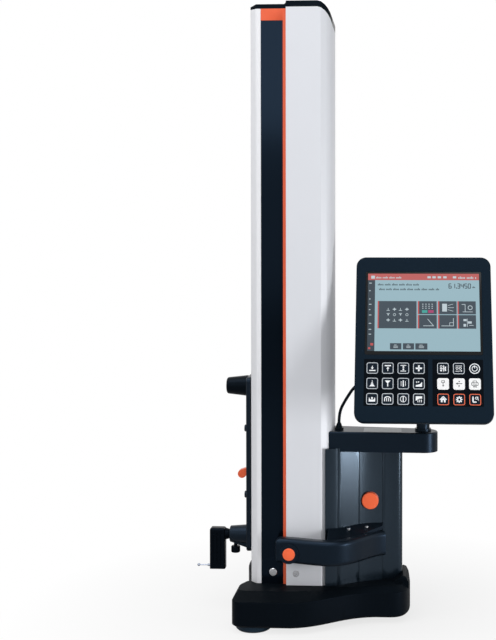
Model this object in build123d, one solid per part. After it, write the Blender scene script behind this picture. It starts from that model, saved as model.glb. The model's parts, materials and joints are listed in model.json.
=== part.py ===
from build123d import *
import os
from math import cos, hypot, radians, sin, tan

# Height gauge: a column on an air-bearing base, a motor-driven measuring slide on the
# front of the column, a power and air unit behind it, and a display on a swivel arm.
# Millimetres.  +Z is up, -X is the probe side, -Y is the operator's side.  The origin is
# under the middle of the whole instrument, on the surface that the air pads stand on.

# ---------------------------------------------------------------- general
COLUMN_X = -80.4              # the column's own axis, seen from the origin
COLUMN_Y = 10.3
SLIDE_GAP = 0.3               # between parts that slide on each other
RUNNING_GAP = 0.08            # radial, between a shaft and its bore
SEAT_GAP = 0.2                # between curved faces of fixed parts

# ---------------------------------------------------------------- base
PAD_RADIUS = 29.0
PAD_HEIGHT = 10.0
PAD_GROOVE_RADIUS = 19.0
PAD_FRONT_X = -56.0
PAD_SIDE_IN = 5.0             # from the base's side in to the front pads
PAD_REAR_X = 148.0
CASTING_HEIGHT = 41.5
CASTING_BEVEL = 3.5
POCKET_DEPTH = 14.0
POCKET_HALF_WIDTH = 30.0
COVER_HEIGHT = 8.5
NOTCH_X = -63.0               # floor of the notch that the slide drops into
NOTCH_HALF = 35.0
FRONT_X = -79.0
LEG_X = -88.5
LEG_FLAT = 10.0               # the leg's flat front, up to its rounded corner
BASE_HALF_WIDTH = 124.0
BASE_CORNER = 14.0
SIDE_END_X = 6.0
WAIST_X = 140.0
WAIST_HALF = 62.0
REAR_START_X = 160.0
REAR_X = 195.5
COVER_SIDE_SLOPE = 34.0       # how far the cover's top edge lies inside its rim
COVER_FRONT_SLOPE = 5.0
COVER_REAR_SLOPE = 9.0
HUMP_HEIGHT = 11.0
HUMP_HALF_WIDTH = 34.0

# ---------------------------------------------------------------- column
BEAM_FRONT_X = -52.0
BEAM_REAR_X = 46.0
BEAM_HALF = 46.0
BEAM_WALL = 8.0
RAIL_X = -34.0
RAIL_WIDTH = 10.0
RAIL_DEPTH = 6.0
SLOT_HALF = 16.0
COLUMN_FRONT_X = -67.0
STRIP_CORNER_X = -56.6
STRIP_FRONT_HALF = 39.5
STRIP_WALL = 4.0
INLAY_FRONT_X = -48.8
TRIM_FRONT_X = -12.6
SHELL_FRONT_X = -7.0
FRONT_HALF = 50.0             # half width over the side inlays
TRIM_PROUD = 1.6
BAND_HEIGHT = 19.2
SHELL_HALF = 58.0
SHELL_FLAT_X = 50.0
SHELL_REAR_X = 67.5
SHELL_REAR_HALF = 37.0
SHELL_WALL = 3.5
SHELL_LIP = 5.0
CAP_THICKNESS = 10.0
CAP_SKIRT = 19.0              # the cap's depth into the column, down to the beam
CAP_STEP = 1.4                # how far the front stops below the rear shell
CAP_FRONT_THICKNESS = 7.4
CAP_REAR_DROP = 36.0
CAP_REAR_FLAT_X = 44.0
CAP_REAR_WALL = 3.2
COVER_SCREW_Z = 79.0
PLUG_X = -29.5
PLUG_RADIUS = 6.6
HEX_SCREW_X = 9.0
HEX_SCREW_RADIUS = 5.2
HEX_SOCKET = 2.4

# ---------------------------------------------------------------- drive
PULLEY_RADIUS = 22.0
PULLEY_WIDTH = 13.0
PULLEY_X = 6.0
PULLEY_BOTTOM_Z = 95.0
PULLEY_FLANGE = 2.0
PULLEY_OVER_SLIDE = 11.0      # room between the slide at the top and the pulley
BEAM_OVER_PULLEY = 35.0
AXLE_RADIUS = 3.0
BELT_THICKNESS = 1.6
BELT_WIDTH = 10.0
MOTOR_RADIUS = 20.0
MOTOR_LENGTH = 24.0
SCALE_WIDTH = 10.0
SCALE_THICKNESS = 1.5
SCALE_X = -11.0
SCALE_SPARE = 30.0            # length of scale beyond each end of the reader's travel
WEIGHT_LENGTH = 195.0
WEIGHT_UNDER_PULLEY = 6.0
WEIGHT_FRONT_X = 12.0

# ---------------------------------------------------------------- slide
SLIDE_DOWN = 70.0             # travel below and above the place it is modelled in
SLIDE_UP = 530.0
CARRIAGE_BOTTOM = 150.0
CARRIAGE_TOP = 385.0
CARRIAGE_REAR_X = -20.0
CARRIAGE_HALF = 30.0
SHOE_HEIGHT = 55.0
NECK_HALF = 13.0
BELT_CLAMP_RISE = 90.0
BELT_CLAMP_HEIGHT = 50.0
READER_RISE = 150.0
READER_HEIGHT = 42.0
READER_DEPTH = 14.0
PLATE_INNER_X = -69.5
PLATE_THICKNESS = 7.5
PLATE_HALF = 30.0
PLATE_UNDER_PROBE = 22.5
PLATE_OVER_CARRIAGE = 12.0
KNOB_UNDER_TOP = 17.0
KNOB_LENGTH = 36.0
KNOB_ROOT_RADIUS = 17.5
KNOB_TIP_RADIUS = 13.5
PLATE_SCREW_RADIUS = 5.8
PLATE_SCREW_PROUD = 6.4
PLATE_SCREWS_Z = (196.0, 308.0)
LEVER_PIN_Z = 240.0
LEVER_PIN_RADIUS = 2.0
LEVER_PIN_SEAT = 7.0          # the pin's length in the plate on each side of the slot
LEVER_SLOT_HALF = 6.6
LEVER_SLOT_UP = 13.0
LEVER_SLOT_DOWN = 15.0
LEVER_REACH = 14.1            # from the pin out to the paddle's middle
LEVER_DROP = 8.5
LEVER_TIP_RADIUS = 7.0
PROBE_Z = 128.5
BOSS_ROOT_RADIUS = 16.0
BOSS_TIP_RADIUS = 13.5
BOSS_LENGTH = 31.0
PROBE_SHAFT_RADIUS = 7.0
CLAMP_KNOB_X = -99.0
CLAMP_KNOB_RADIUS = 7.6
CLAMP_KNOB_HEIGHT = 11.0
CLAMP_KNOB_DROP = 31.0        # from the probe's axis down to the knob's underside
CLAMP_STEM_RADIUS = 3.0
CLAMP_LUG_HALF = 8.0
HOLDER_FRONT_X = -142.0
HOLDER_REAR_X = -116.0
HOLDER_HALF_WIDTH = 9.0
HOLDER_OVER_PROBE = 11.0
HOLDER_LENGTH = 69.0
HOLDER_FLUTES = 3
FLUTE_HALF = 1.2
STYLUS_RISE = 4.5             # from the leg's lower end up to the stylus
STYLUS_BALL_RADIUS = 2.5
STYLUS_BALL_X = -162.0
STYLUS_STEM_RADIUS = 1.0
STYLUS_COLLAR_RADIUS = 2.6

# ---------------------------------------------------------------- rear unit
UNIT_TOP = 284.5
UNIT_WALL = 3.0
UNIT_POINTS = ((57.0, -60.0), (76.0, -53.0), (110.0, -32.5), (151.0, -15.5), (169.0, -11.0))
UNIT_REAR_X = 182.5
GROOVES_X = (77.5, 111.5, 149.5)
GROOVE_WIDTH = 1.4
GROOVE_DEPTH = 1.2
UNIT_BUTTON_X = 129.5
UNIT_BUTTON_Z = 194.0
UNIT_BUTTON_RADIUS = 13.7
UNIT_BUTTON_LENGTH = 18.0
UNIT_BUTTON_PROUD = 8.1
BATTERY_THICKNESS = 18.0
BATTERY_HALF_WIDTH = 34.0
BATTERY_HEIGHT = 150.0
PUMP_BEHIND_WALL = 38.0
PUMP_RADIUS = 15.0
PUMP_HEIGHT = 62.0
PUMP_FIN_START = 32.0
PUMP_FIN_PITCH = 9.0
PUMP_HEAD_HEIGHT = 14.0

# ---------------------------------------------------------------- arm and display
ARM_OVERLAP = 5.5             # how far the arm reaches down over the unit's edge
ARM_THICKNESS = 32.6
ARM_FRONT_X = 57.5
ARM_NEAR_Y = -50.0
ARM_FAR_Y = 14.0
ARM_BOSS_RADIUS = 24.0
SWIVEL_X = 216.5
SWIVEL_Y = -31.0
POST_RADIUS = 10.8
SPIGOT_RADIUS = 8.0
GLAND_X = 78.0
GLAND_Y = -31.0
GLAND_RADIUS = 6.0
GLAND_HEIGHT = 12.0
CABLE_RADIUS = 2.5
CABLE_LOOP = ((0.0, 17.4), (11.0, 38.4), (27.0, 62.4), (51.0, 74.4), (73.0, 68.9))
CABLE_RUN_IN = 26.0           # straight into the socket
SOCKET_OVER_ARM = 59.4
SOCKET_RADIUS = 5.0
SOCKET_LENGTH = 10.0
HINGE_FORWARD = 15.0          # the tilt hinge stands in front of the swivel's axis
HINGE_OVER_ARM = 126.4
HINGE_RADIUS = 11.0
HINGE_PIN_RADIUS = 5.0
HINGE_LUG_WIDTH = 28.0
HINGE_EAR = 9.0
DISPLAY_FORWARD = 49.0        # from the hinge to the middle of the display's front face
DISPLAY_RISE = 32.5
DISPLAY_LEAN = 21.5
DISPLAY_WIDTH = 217.5
DISPLAY_HEIGHT = 273.5
DISPLAY_CORNER = 16.0
FRAME_DEPTH = 11.0
FRAME_WALL = 3.0
BACK_DEPTH = 22.0
BACK_TAPER = 22.0
GLASS_SIDE = 15.45            # from each side of the panel
GLASS_SHARE = 0.509           # of the panel's height
GLASS_TOP = 25.5              # from the panel's top edge
MODULE_MARGIN = 4.0
MODULE_DEPTH = 6.0
KEY_SIZE = 18.4
KEY_CORNER = 3.6
KEY_PROUD = 0.5
KEY_FLANGE = 1.2
KEY_LIP = 1.4
KEY_GAP = 0.2
KEY_COLUMNS = (-0.3715, -0.2593, -0.1471, -0.0349, 0.1389, 0.2529, 0.3669)    # of the width
KEY_ROWS = (0.2031, 0.4311, 0.659)     # of the height under the glass

# ---------------------------------------------------------------- grip
GRIP_BOTTOM = 104.0
GRIP_HEIGHT = 40.0
GRIP_THICKNESS = 22.0
GRIP_LINE = ((-22.0, 19.5), (30.0, 28.5), (77.0, 34.0), (102.0, 16.0), (127.0, -14.0),
             (150.0, -34.0))   # place along the column, and distance out from the shell's side
GRIP_EDGE = 7.0
GRIP_END_RADIUS = 13.0
GRIP_BUTTON_X = 1.0
GRIP_BUTTON_Z = 121.0
GRIP_BUTTON_RADIUS = 10.0
GRIP_RING_RADIUS = 15.5
GRIP_RING_PROUD = 7.0
GRIP_BUTTON_PROUD = 2.0
GRIP_BUTTON_LENGTH = 16.0
GRIP_SCREWS = ((95.0, -50.5), (124.0, -36.0))
GRIP_SCREW_RADIUS = 1.6
GRIP_SCREW_HEAD_RADIUS = 3.2
WEB_OVER_GRIP = 11.0
WEB_THICKNESS = 5.0
WEB_START = 5.0               # behind the unit's front corner
WEB_INTO_UNIT = 4.0

# ---------------------------------------------------------------- worked out from the above
BASE_TOP = PAD_HEIGHT + CASTING_HEIGHT + COVER_HEIGHT
LEG_Y = BASE_HALF_WIDTH - BASE_CORNER - LEG_FLAT
PAD_FRONT_Y = BASE_HALF_WIDTH - PAD_SIDE_IN - PAD_RADIUS
GRIP_POINTS = [(x, -SHELL_HALF - out) for x, out in GRIP_LINE]
GRIP_FRONT = GRIP_POINTS[0][0] - 2
GRIP_RING_Y = GRIP_POINTS[0][1] - GRIP_THICKNESS / 2 - GRIP_RING_PROUD
GLASS_WIDTH = DISPLAY_WIDTH - 2 * GLASS_SIDE
GLASS_HEIGHT = GLASS_SHARE * DISPLAY_HEIGHT
PULLEY_TOP_Z = CARRIAGE_TOP + SLIDE_UP + PULLEY_OVER_SLIDE + PULLEY_RADIUS + PULLEY_FLANGE
BEAM_TOP = PULLEY_TOP_Z + BEAM_OVER_PULLEY
COLUMN_TOP = BEAM_TOP + CAP_SKIRT
FRONT_TOP = COLUMN_TOP - CAP_STEP
WEIGHT_TOP = PULLEY_TOP_Z - PULLEY_RADIUS - PULLEY_FLANGE - WEIGHT_UNDER_PULLEY - SLIDE_DOWN
READER_Z = CARRIAGE_BOTTOM + READER_RISE
PLATE_FACE_X = PLATE_INNER_X - PLATE_THICKNESS
PLATE_TOP = CARRIAGE_TOP + PLATE_OVER_CARRIAGE
PLATE_BOTTOM = PROBE_Z - PLATE_UNDER_PROBE
KNOB_Z = PLATE_TOP - KNOB_UNDER_TOP
LEVER_PIN_X = PLATE_INNER_X - PLATE_THICKNESS / 2
CLAMP_KNOB_BOTTOM = PROBE_Z - CLAMP_KNOB_DROP
HOLDER_TOP = PROBE_Z + HOLDER_OVER_PROBE
HOLDER_BOTTOM = HOLDER_TOP - HOLDER_LENGTH
STYLUS_Z = HOLDER_BOTTOM + STYLUS_RISE
ARM_BOTTOM = UNIT_TOP - ARM_OVERLAP
ARM_TOP = ARM_BOTTOM + ARM_THICKNESS
SOCKET_Z = ARM_TOP + SOCKET_OVER_ARM
HINGE_Y = SWIVEL_Y - HINGE_FORWARD
HINGE_Z = ARM_TOP + HINGE_OVER_ARM
DISPLAY_Y = HINGE_Y - DISPLAY_FORWARD
DISPLAY_Z = HINGE_Z + DISPLAY_RISE


# ---------------------------------------------------------------- helpers
def block(x0, x1, y0, y1, z0, z1):
    """A box between two corners."""
    middle = Pos((x0 + x1) / 2, (y0 + y1) / 2, (z0 + z1) / 2)
    return middle * Box(x1 - x0, y1 - y0, z1 - z0)


def rod(start, direction, radius, length, tip_radius=None):
    """A cylinder, or a cone when tip_radius is given, from start along direction."""
    place = Plane(origin=start, z_dir=direction)
    grounded = (Align.CENTER, Align.CENTER, Align.MIN)
    if tip_radius is None:
        return place * Cylinder(radius, length, align=grounded)
    return place * Cone(radius, tip_radius, length, align=grounded)


def prism(points, z0, z1):
    """An upright prism over a polygon."""
    return extrude(Plane.XY.offset(z0) * make_face(Polyline(*points, close=True)), z1 - z0)


def symmetric_prism(half, z0, z1):
    """An upright prism over an outline given for +Y and mirrored to -Y."""
    return prism(half + [(x, -y) for x, y in reversed(half)], z0, z1)


def side_prism(points, half_width):
    """A prism along Y over a polygon given in X and Z."""
    face = Plane.XZ * make_face(Polyline(*points, close=True))
    return extrude(face, half_width, both=True)


def pair(part):
    """A piece and its mirror image on the other side of the column."""
    return part + mirror(part, about=Plane.XZ)


def hex_socket(start, direction, radius, depth):
    """A hexagonal hole for a key."""
    place = Plane(origin=start, z_dir=direction)
    return extrude(place * RegularPolygon(radius, 6), depth)


# ---------------------------------------------------------------- base
def base_outline(height, side_in=0.0, front_in=0.0, rear_in=0.0):
    """The base's plan outline as a face: notched front, two legs, waisted to the rear."""
    side = BASE_HALF_WIDTH - side_in
    leg_x = LEG_X + front_in
    leg_y = LEG_Y - side_in
    waist = WAIST_HALF - min(side_in, COVER_REAR_SLOPE)
    rear = REAR_X - rear_in
    notch = Polyline((NOTCH_X, 0), (NOTCH_X, -NOTCH_HALF), (FRONT_X + front_in, -NOTCH_HALF - 3))
    flare = Spline((FRONT_X + front_in, -NOTCH_HALF - 3), (leg_x, -leg_y),
                   tangents=[(-0.35, -1), (0, -1)])
    leg = Line((leg_x, -leg_y), (leg_x, BASE_CORNER - side))
    corner = TangentArc((leg_x, BASE_CORNER - side), (leg_x + BASE_CORNER, -side), tangent=(0, -1))
    flank = Line((leg_x + BASE_CORNER, -side), (SIDE_END_X, -side))
    sweep_in = Spline((SIDE_END_X, -side), (WAIST_X, -waist), tangents=[(1, 0.15), (1, 0.1)])
    waist_line = Line((WAIST_X, -waist), (REAR_START_X, -waist))
    rear_round = Spline((REAR_START_X, -waist), (rear, 0), tangents=[(1, 0), (0, 1)])
    half = Curve() + [notch, flare, leg, corner, flank, sweep_in, waist_line, rear_round]
    whole = Curve() + [half, mirror(half, about=Plane.XZ)]
    return Plane.XY.offset(height) * make_face(whole)


def beam_outline():
    """The column beam's section for +Y: a channel, open to the front, with two guideways."""
    inner = BEAM_HALF - BEAM_WALL
    rail_rear = RAIL_X + RAIL_WIDTH
    return [(BEAM_REAR_X, BEAM_HALF), (BEAM_FRONT_X, BEAM_HALF), (BEAM_FRONT_X, inner),
            (RAIL_X, inner), (RAIL_X, inner - RAIL_DEPTH), (rail_rear, inner - RAIL_DEPTH),
            (rail_rear, inner), (BEAM_REAR_X - BEAM_WALL, inner)]


def make_base_casting():
    """The cast foot, hollowed underneath, with flats for the air pads."""
    bevel = CASTING_BEVEL
    casting = extrude(base_outline(PAD_HEIGHT + bevel), CASTING_HEIGHT - bevel)
    casting += loft([base_outline(PAD_HEIGHT, bevel, bevel, bevel),
                     base_outline(PAD_HEIGHT + bevel)])
    pocket = block(PAD_FRONT_X + PAD_RADIUS, PAD_REAR_X - PAD_RADIUS - 12, -POCKET_HALF_WIDTH,
                   POCKET_HALF_WIDTH, PAD_HEIGHT, PAD_HEIGHT + POCKET_DEPTH)
    casting -= fillet(pocket.edges().filter_by(Axis.Z), 8.0)
    return casting


def make_base_cover():
    """The moulded cover on the casting, sloping to its rim, with a hump behind the unit."""
    rim_height = PAD_HEIGHT + CASTING_HEIGHT
    slope = base_outline(BASE_TOP, COVER_SIDE_SLOPE, COVER_FRONT_SLOPE, COVER_REAR_SLOPE)
    cover = loft([base_outline(rim_height), slope])
    top = BASE_TOP + HUMP_HEIGHT
    hump_side = [(168.0, rim_height), (168.0, BASE_TOP), (184.0, top), (189.0, top - 2),
                 (193.0, top - 10), (REAR_X - 0.6, rim_height)]
    hump = side_prism(hump_side, HUMP_HALF_WIDTH)
    hump = fillet(hump.edges().group_by(Axis.Y)[0].group_by(Axis.Z)[-1], 5.0)
    bounds = extrude(base_outline(rim_height), COVER_HEIGHT + HUMP_HEIGHT)
    cover += hump & bounds
    opening = symmetric_prism([(BEAM_REAR_X, BEAM_HALF), (BEAM_FRONT_X, BEAM_HALF)],
                              rim_height, BASE_TOP + 1)
    return cover - opening - unit_solid(SEAT_GAP, BASE_TOP, BASE_TOP + HUMP_HEIGHT)


def make_air_pads():
    """Three air-bearing pads with a feed hole and a groove in the underside."""
    pad = Cylinder(PAD_RADIUS, PAD_HEIGHT, align=(Align.CENTER, Align.CENTER, Align.MIN))
    pad = chamfer(pad.edges().sort_by(Axis.Z)[0], 3.0)
    groove = Cylinder(PAD_GROOVE_RADIUS + 1, 1.0, align=(Align.CENTER, Align.CENTER, Align.MIN))
    groove -= Cylinder(PAD_GROOVE_RADIUS - 1, 1.0, align=(Align.CENTER, Align.CENTER, Align.MIN))
    hole = Cylinder(1.5, PAD_HEIGHT, align=(Align.CENTER, Align.CENTER, Align.MIN))
    pad = pad - groove - hole
    places = [(PAD_FRONT_X, -PAD_FRONT_Y), (PAD_FRONT_X, PAD_FRONT_Y), (PAD_REAR_X, 0)]
    return Part() + [Pos(x, y, 0) * pad for x, y in places]


# ---------------------------------------------------------------- column
def make_column_beam():
    """The load-carrying beam with its guideways and the bosses of the top pulley."""
    foot = PAD_HEIGHT + CASTING_HEIGHT
    inner = BEAM_HALF - BEAM_WALL
    boss_end = PULLEY_WIDTH / 2 + PULLEY_FLANGE + 1
    beam = symmetric_prism(beam_outline(), foot, BEAM_TOP)
    boss = rod((PULLEY_X, boss_end, PULLEY_TOP_Z), (0, 1, 0), 8.0, inner - boss_end)
    beam += pair(boss)
    bore_length = BEAM_HALF * 2
    beam -= rod((PULLEY_X, -BEAM_HALF, PULLEY_TOP_Z), (0, 1, 0), AXLE_RADIUS + RUNNING_GAP,
                bore_length)
    return beam


def make_front_strips():
    """The two silver corner strips, with the slot for the slide between them."""
    wall = STRIP_WALL
    half = [(INLAY_FRONT_X, FRONT_HALF), (STRIP_CORNER_X, FRONT_HALF),
            (COLUMN_FRONT_X, STRIP_FRONT_HALF), (COLUMN_FRONT_X, SLOT_HALF),
            (COLUMN_FRONT_X + wall, SLOT_HALF), (COLUMN_FRONT_X + wall, STRIP_FRONT_HALF - 2),
            (STRIP_CORNER_X + 1.5, BEAM_HALF), (INLAY_FRONT_X, BEAM_HALF)]
    strip = prism(half, BASE_TOP, FRONT_TOP)
    corners = strip.edges().filter_by(Axis.Z)
    outer = corners.sort_by_distance((STRIP_CORNER_X, FRONT_HALF, BASE_TOP + 500))[0]
    front = corners.sort_by_distance((COLUMN_FRONT_X, STRIP_FRONT_HALF, BASE_TOP + 500))[0]
    return pair(fillet([outer, front], 5.0))


def make_side_inlays():
    """The two dark panels in the column's sides, bored for the plug at the foot."""
    inlay = block(INLAY_FRONT_X, TRIM_FRONT_X, BEAM_HALF, FRONT_HALF, BASE_TOP,
                  FRONT_TOP - BAND_HEIGHT)
    bore = rod((PLUG_X, BEAM_HALF, COVER_SCREW_Z), (0, 1, 0), PLUG_RADIUS + RUNNING_GAP, 10)
    return pair(inlay - bore)


def make_accent_trims():
    """The two coloured trims: an upright edge and a band over the inlay's top."""
    proud = FRONT_HALF + TRIM_PROUD
    upright = block(TRIM_FRONT_X, SHELL_FRONT_X, BEAM_HALF, proud, BASE_TOP, FRONT_TOP)
    band = block(INLAY_FRONT_X, TRIM_FRONT_X, BEAM_HALF, FRONT_HALF + 0.4,
                 FRONT_TOP - BAND_HEIGHT, FRONT_TOP)
    return pair(upright + band)


def shell_half(grow=0.0):
    """The silver shell's outer section for +Y, grown outwards by a gap."""
    half = SHELL_HALF + grow
    return [(SHELL_FRONT_X, half), (SHELL_FLAT_X, half),
            (SHELL_FLAT_X + 9.0 + grow, half - 4.5), (SHELL_REAR_X - 3.0 + grow, half - 11.5),
            (SHELL_REAR_X + grow, SHELL_REAR_HALF + grow)]


def cap_profile(drop):
    """The line in X and Z over the column's top, lowered by drop, curving down at the rear."""
    reach = SHELL_REAR_X + 1 - CAP_REAR_FLAT_X
    fall = CAP_REAR_DROP
    top = COLUMN_TOP + CAP_THICKNESS - drop
    steps = (0.0, 0.25, 0.5, 0.7, 0.85, 0.95, 1.0)
    return [(CAP_REAR_FLAT_X + reach * s, top - fall * (1 - (1 - s ** 2) ** 0.5) ** 0.9)
            for s in steps]


def under_cap(drop, front_x):
    """Everything under the cap's line, as a block wide enough to cut with."""
    line = cap_profile(drop)
    points = [(front_x, BASE_TOP), (front_x, line[0][1])] + line + [(line[-1][0], BASE_TOP)]
    return side_prism(points, SHELL_HALF + 10)


def make_column_shell():
    """The silver extrusion round the column's sides and rear, lipped where it meets the beam."""
    wall = SHELL_WALL
    outer = symmetric_prism(shell_half(), BASE_TOP, COLUMN_TOP)
    inner_half = [(SHELL_FRONT_X + SHELL_LIP, BEAM_HALF), (SHELL_FRONT_X + SHELL_LIP,
                  SHELL_HALF - wall), (SHELL_FLAT_X, SHELL_HALF - wall),
                  (SHELL_REAR_X - wall, SHELL_REAR_HALF - 2)]
    front_half = [(SHELL_FRONT_X, BEAM_HALF), (SHELL_FRONT_X + SHELL_LIP, BEAM_HALF)]
    shell = outer - symmetric_prism(inner_half, BASE_TOP, COLUMN_TOP)
    shell -= symmetric_prism(front_half, BASE_TOP, COLUMN_TOP)
    rib = block(BEAM_REAR_X, SHELL_REAR_X - wall, -4.0, 4.0, BASE_TOP, COLUMN_TOP)
    shell += rib
    shell = shell & under_cap(CAP_THICKNESS, SHELL_FRONT_X)
    bore = rod((HEX_SCREW_X, SHELL_HALF - wall, COVER_SCREW_Z), (0, 1, 0),
               HEX_SCREW_RADIUS + RUNNING_GAP, wall)
    return shell - pair(bore)


def make_top_cap():
    """The dark cap over the column, lower over the front and curving down at the rear."""
    rear_outer = symmetric_prism(shell_half(), COLUMN_TOP - CAP_REAR_DROP, COLUMN_TOP + CAP_THICKNESS)
    rear = rear_outer & under_cap(0.0, SHELL_FRONT_X)
    rear -= under_cap(CAP_THICKNESS, SHELL_FRONT_X)
    front_top = FRONT_TOP + CAP_FRONT_THICKNESS
    front_half = [(SHELL_FRONT_X, FRONT_HALF), (STRIP_CORNER_X, FRONT_HALF),
                  (COLUMN_FRONT_X, STRIP_FRONT_HALF)]
    front = symmetric_prism(front_half, FRONT_TOP, COLUMN_TOP + CAP_THICKNESS)
    profile = [(COLUMN_FRONT_X, FRONT_TOP), (COLUMN_FRONT_X, front_top - 3.0),
               (STRIP_CORNER_X, front_top), (SHELL_FRONT_X - 3, front_top),
               (SHELL_FRONT_X, COLUMN_TOP + CAP_THICKNESS), (SHELL_FRONT_X, FRONT_TOP)]
    front = front & side_prism(profile, SHELL_HALF)
    skirt = block(BEAM_FRONT_X, BEAM_REAR_X, -BEAM_HALF + 10, BEAM_HALF - 10, BEAM_TOP, COLUMN_TOP)
    skirt = skirt & side_prism([(BEAM_FRONT_X, BEAM_TOP), (BEAM_FRONT_X, FRONT_TOP),
                                (SHELL_FRONT_X, FRONT_TOP), (SHELL_FRONT_X, COLUMN_TOP),
                                (BEAM_REAR_X, COLUMN_TOP), (BEAM_REAR_X, BEAM_TOP)], BEAM_HALF)
    return rear + front + skirt


def make_case_screws():
    """The screws and plugs that show: two on each side at the foot, two in the grip's web."""
    plug = rod((PLUG_X, BEAM_HALF, COVER_SCREW_Z), (0, 1, 0), PLUG_RADIUS,
               FRONT_HALF - BEAM_HALF + 1.5)
    plug = chamfer(plug.edges().sort_by(Axis.Y)[-1], 0.8)
    head_depth = SHELL_HALF - BEAM_HALF
    screw = rod((HEX_SCREW_X, BEAM_HALF, COVER_SCREW_Z), (0, 1, 0), HEX_SCREW_RADIUS,
                head_depth + 0.4)
    screw -= hex_socket((HEX_SCREW_X, SHELL_HALF + 0.4, COVER_SCREW_Z), (0, -1, 0),
                        HEX_SOCKET, 3.0)
    screws = pair(plug) + pair(screw)
    for x, y in GRIP_SCREWS:
        z = web_height(x, y)
        head = rod((x, y, z - 4.0), (0, 0, 1), GRIP_SCREW_RADIUS, 5.0)
        head += rod((x, y, z + 0.6), (0, 0, 1), GRIP_SCREW_HEAD_RADIUS, 1.8)
        head -= hex_socket((x, y, z + 2.4), (0, 0, -1), 1.5, 1.2)
        screws += head
    return screws


# ---------------------------------------------------------------- drive
def make_pulley(height, shaft_start, shaft_length):
    """A flanged belt pulley with lightening holes, on its own shaft along Y."""
    half = PULLEY_WIDTH / 2
    start = (PULLEY_X, -half, height)
    wheel = rod(start, (0, 1, 0), PULLEY_RADIUS, PULLEY_WIDTH)
    for side in (-half - PULLEY_FLANGE, half):
        wheel += rod((PULLEY_X, side, height), (0, 1, 0), PULLEY_RADIUS + PULLEY_FLANGE,
                     PULLEY_FLANGE)
    ring = PULLEY_RADIUS * 0.58
    for turn in range(3):
        angle = radians(120 * turn)
        centre = (PULLEY_X + ring * cos(angle), -half - PULLEY_FLANGE, height + ring * sin(angle))
        wheel -= rod(centre, (0, 1, 0), 4.5, PULLEY_WIDTH + 2 * PULLEY_FLANGE)
    return wheel + rod((PULLEY_X, shaft_start, height), (0, 1, 0), AXLE_RADIUS, shaft_length)


def make_top_pulley():
    """The idler at the top of the column, its axle carried in the beam's bosses."""
    return make_pulley(PULLEY_TOP_Z, 1 - BEAM_HALF, 2 * (BEAM_HALF - 1))


def make_drive_pulley():
    """The driven pulley at the foot, its shaft running into the motor."""
    start = -PULLEY_WIDTH / 2 - PULLEY_FLANGE - 3
    return make_pulley(PULLEY_BOTTOM_Z, start, BEAM_HALF - BEAM_WALL - 6 - start)


def make_drive_motor():
    """The flat motor bolted inside the beam's wall at the foot."""
    wall = BEAM_HALF - BEAM_WALL
    motor = rod((PULLEY_X, wall, PULLEY_BOTTOM_Z), (0, -1, 0), MOTOR_RADIUS, MOTOR_LENGTH)
    motor = chamfer(motor.edges().sort_by(Axis.Y)[0], 2.0)
    motor -= rod((PULLEY_X, wall - 5, PULLEY_BOTTOM_Z), (0, -1, 0), AXLE_RADIUS + RUNNING_GAP,
                 MOTOR_LENGTH)
    return motor


def belt_loop(radius):
    """A solid of the loop round both pulleys at one radius."""
    span = PULLEY_TOP_Z - PULLEY_BOTTOM_Z
    middle = (PULLEY_TOP_Z + PULLEY_BOTTOM_Z) / 2
    face = Rectangle(2 * radius, span) + Pos(0, span / 2) * Circle(radius)
    face += Pos(0, -span / 2) * Circle(radius)
    return Pos(PULLEY_X, 0, middle) * extrude(Plane.XZ * face, BELT_WIDTH / 2, both=True)


def make_drive_belt():
    """The steel belt that joins the slide to the counterweight over both pulleys."""
    inner = PULLEY_RADIUS + SEAT_GAP
    return belt_loop(inner + BELT_THICKNESS) - belt_loop(inner)


def make_counterweight():
    """The steel counterweight behind the belt, grooved to pass over it."""
    inner = BEAM_HALF - BEAM_WALL - SLIDE_GAP
    rear = BEAM_REAR_X - BEAM_WALL - SLIDE_GAP
    belt_outside = PULLEY_X + PULLEY_RADIUS + SEAT_GAP + BELT_THICKNESS
    bottom = WEIGHT_TOP - WEIGHT_LENGTH
    weight = block(WEIGHT_FRONT_X, rear, -inner, inner, bottom, WEIGHT_TOP)
    weight = chamfer(weight.edges().filter_by(Axis.Z), 1.5)
    weight -= block(WEIGHT_FRONT_X, belt_outside + SLIDE_GAP, -PULLEY_WIDTH / 2 - 3,
                    PULLEY_WIDTH / 2 + 3, bottom, WEIGHT_TOP)
    return weight


def make_linear_scale():
    """The glass scale on the beam's inner wall."""
    wall = BEAM_HALF - BEAM_WALL
    bottom = READER_Z - SLIDE_DOWN - SCALE_SPARE
    top = READER_Z + READER_HEIGHT + SLIDE_UP + SCALE_SPARE
    return block(SCALE_X - SCALE_WIDTH / 2, SCALE_X + SCALE_WIDTH / 2, -wall,
                 SCALE_THICKNESS - wall, bottom, top)


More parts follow.
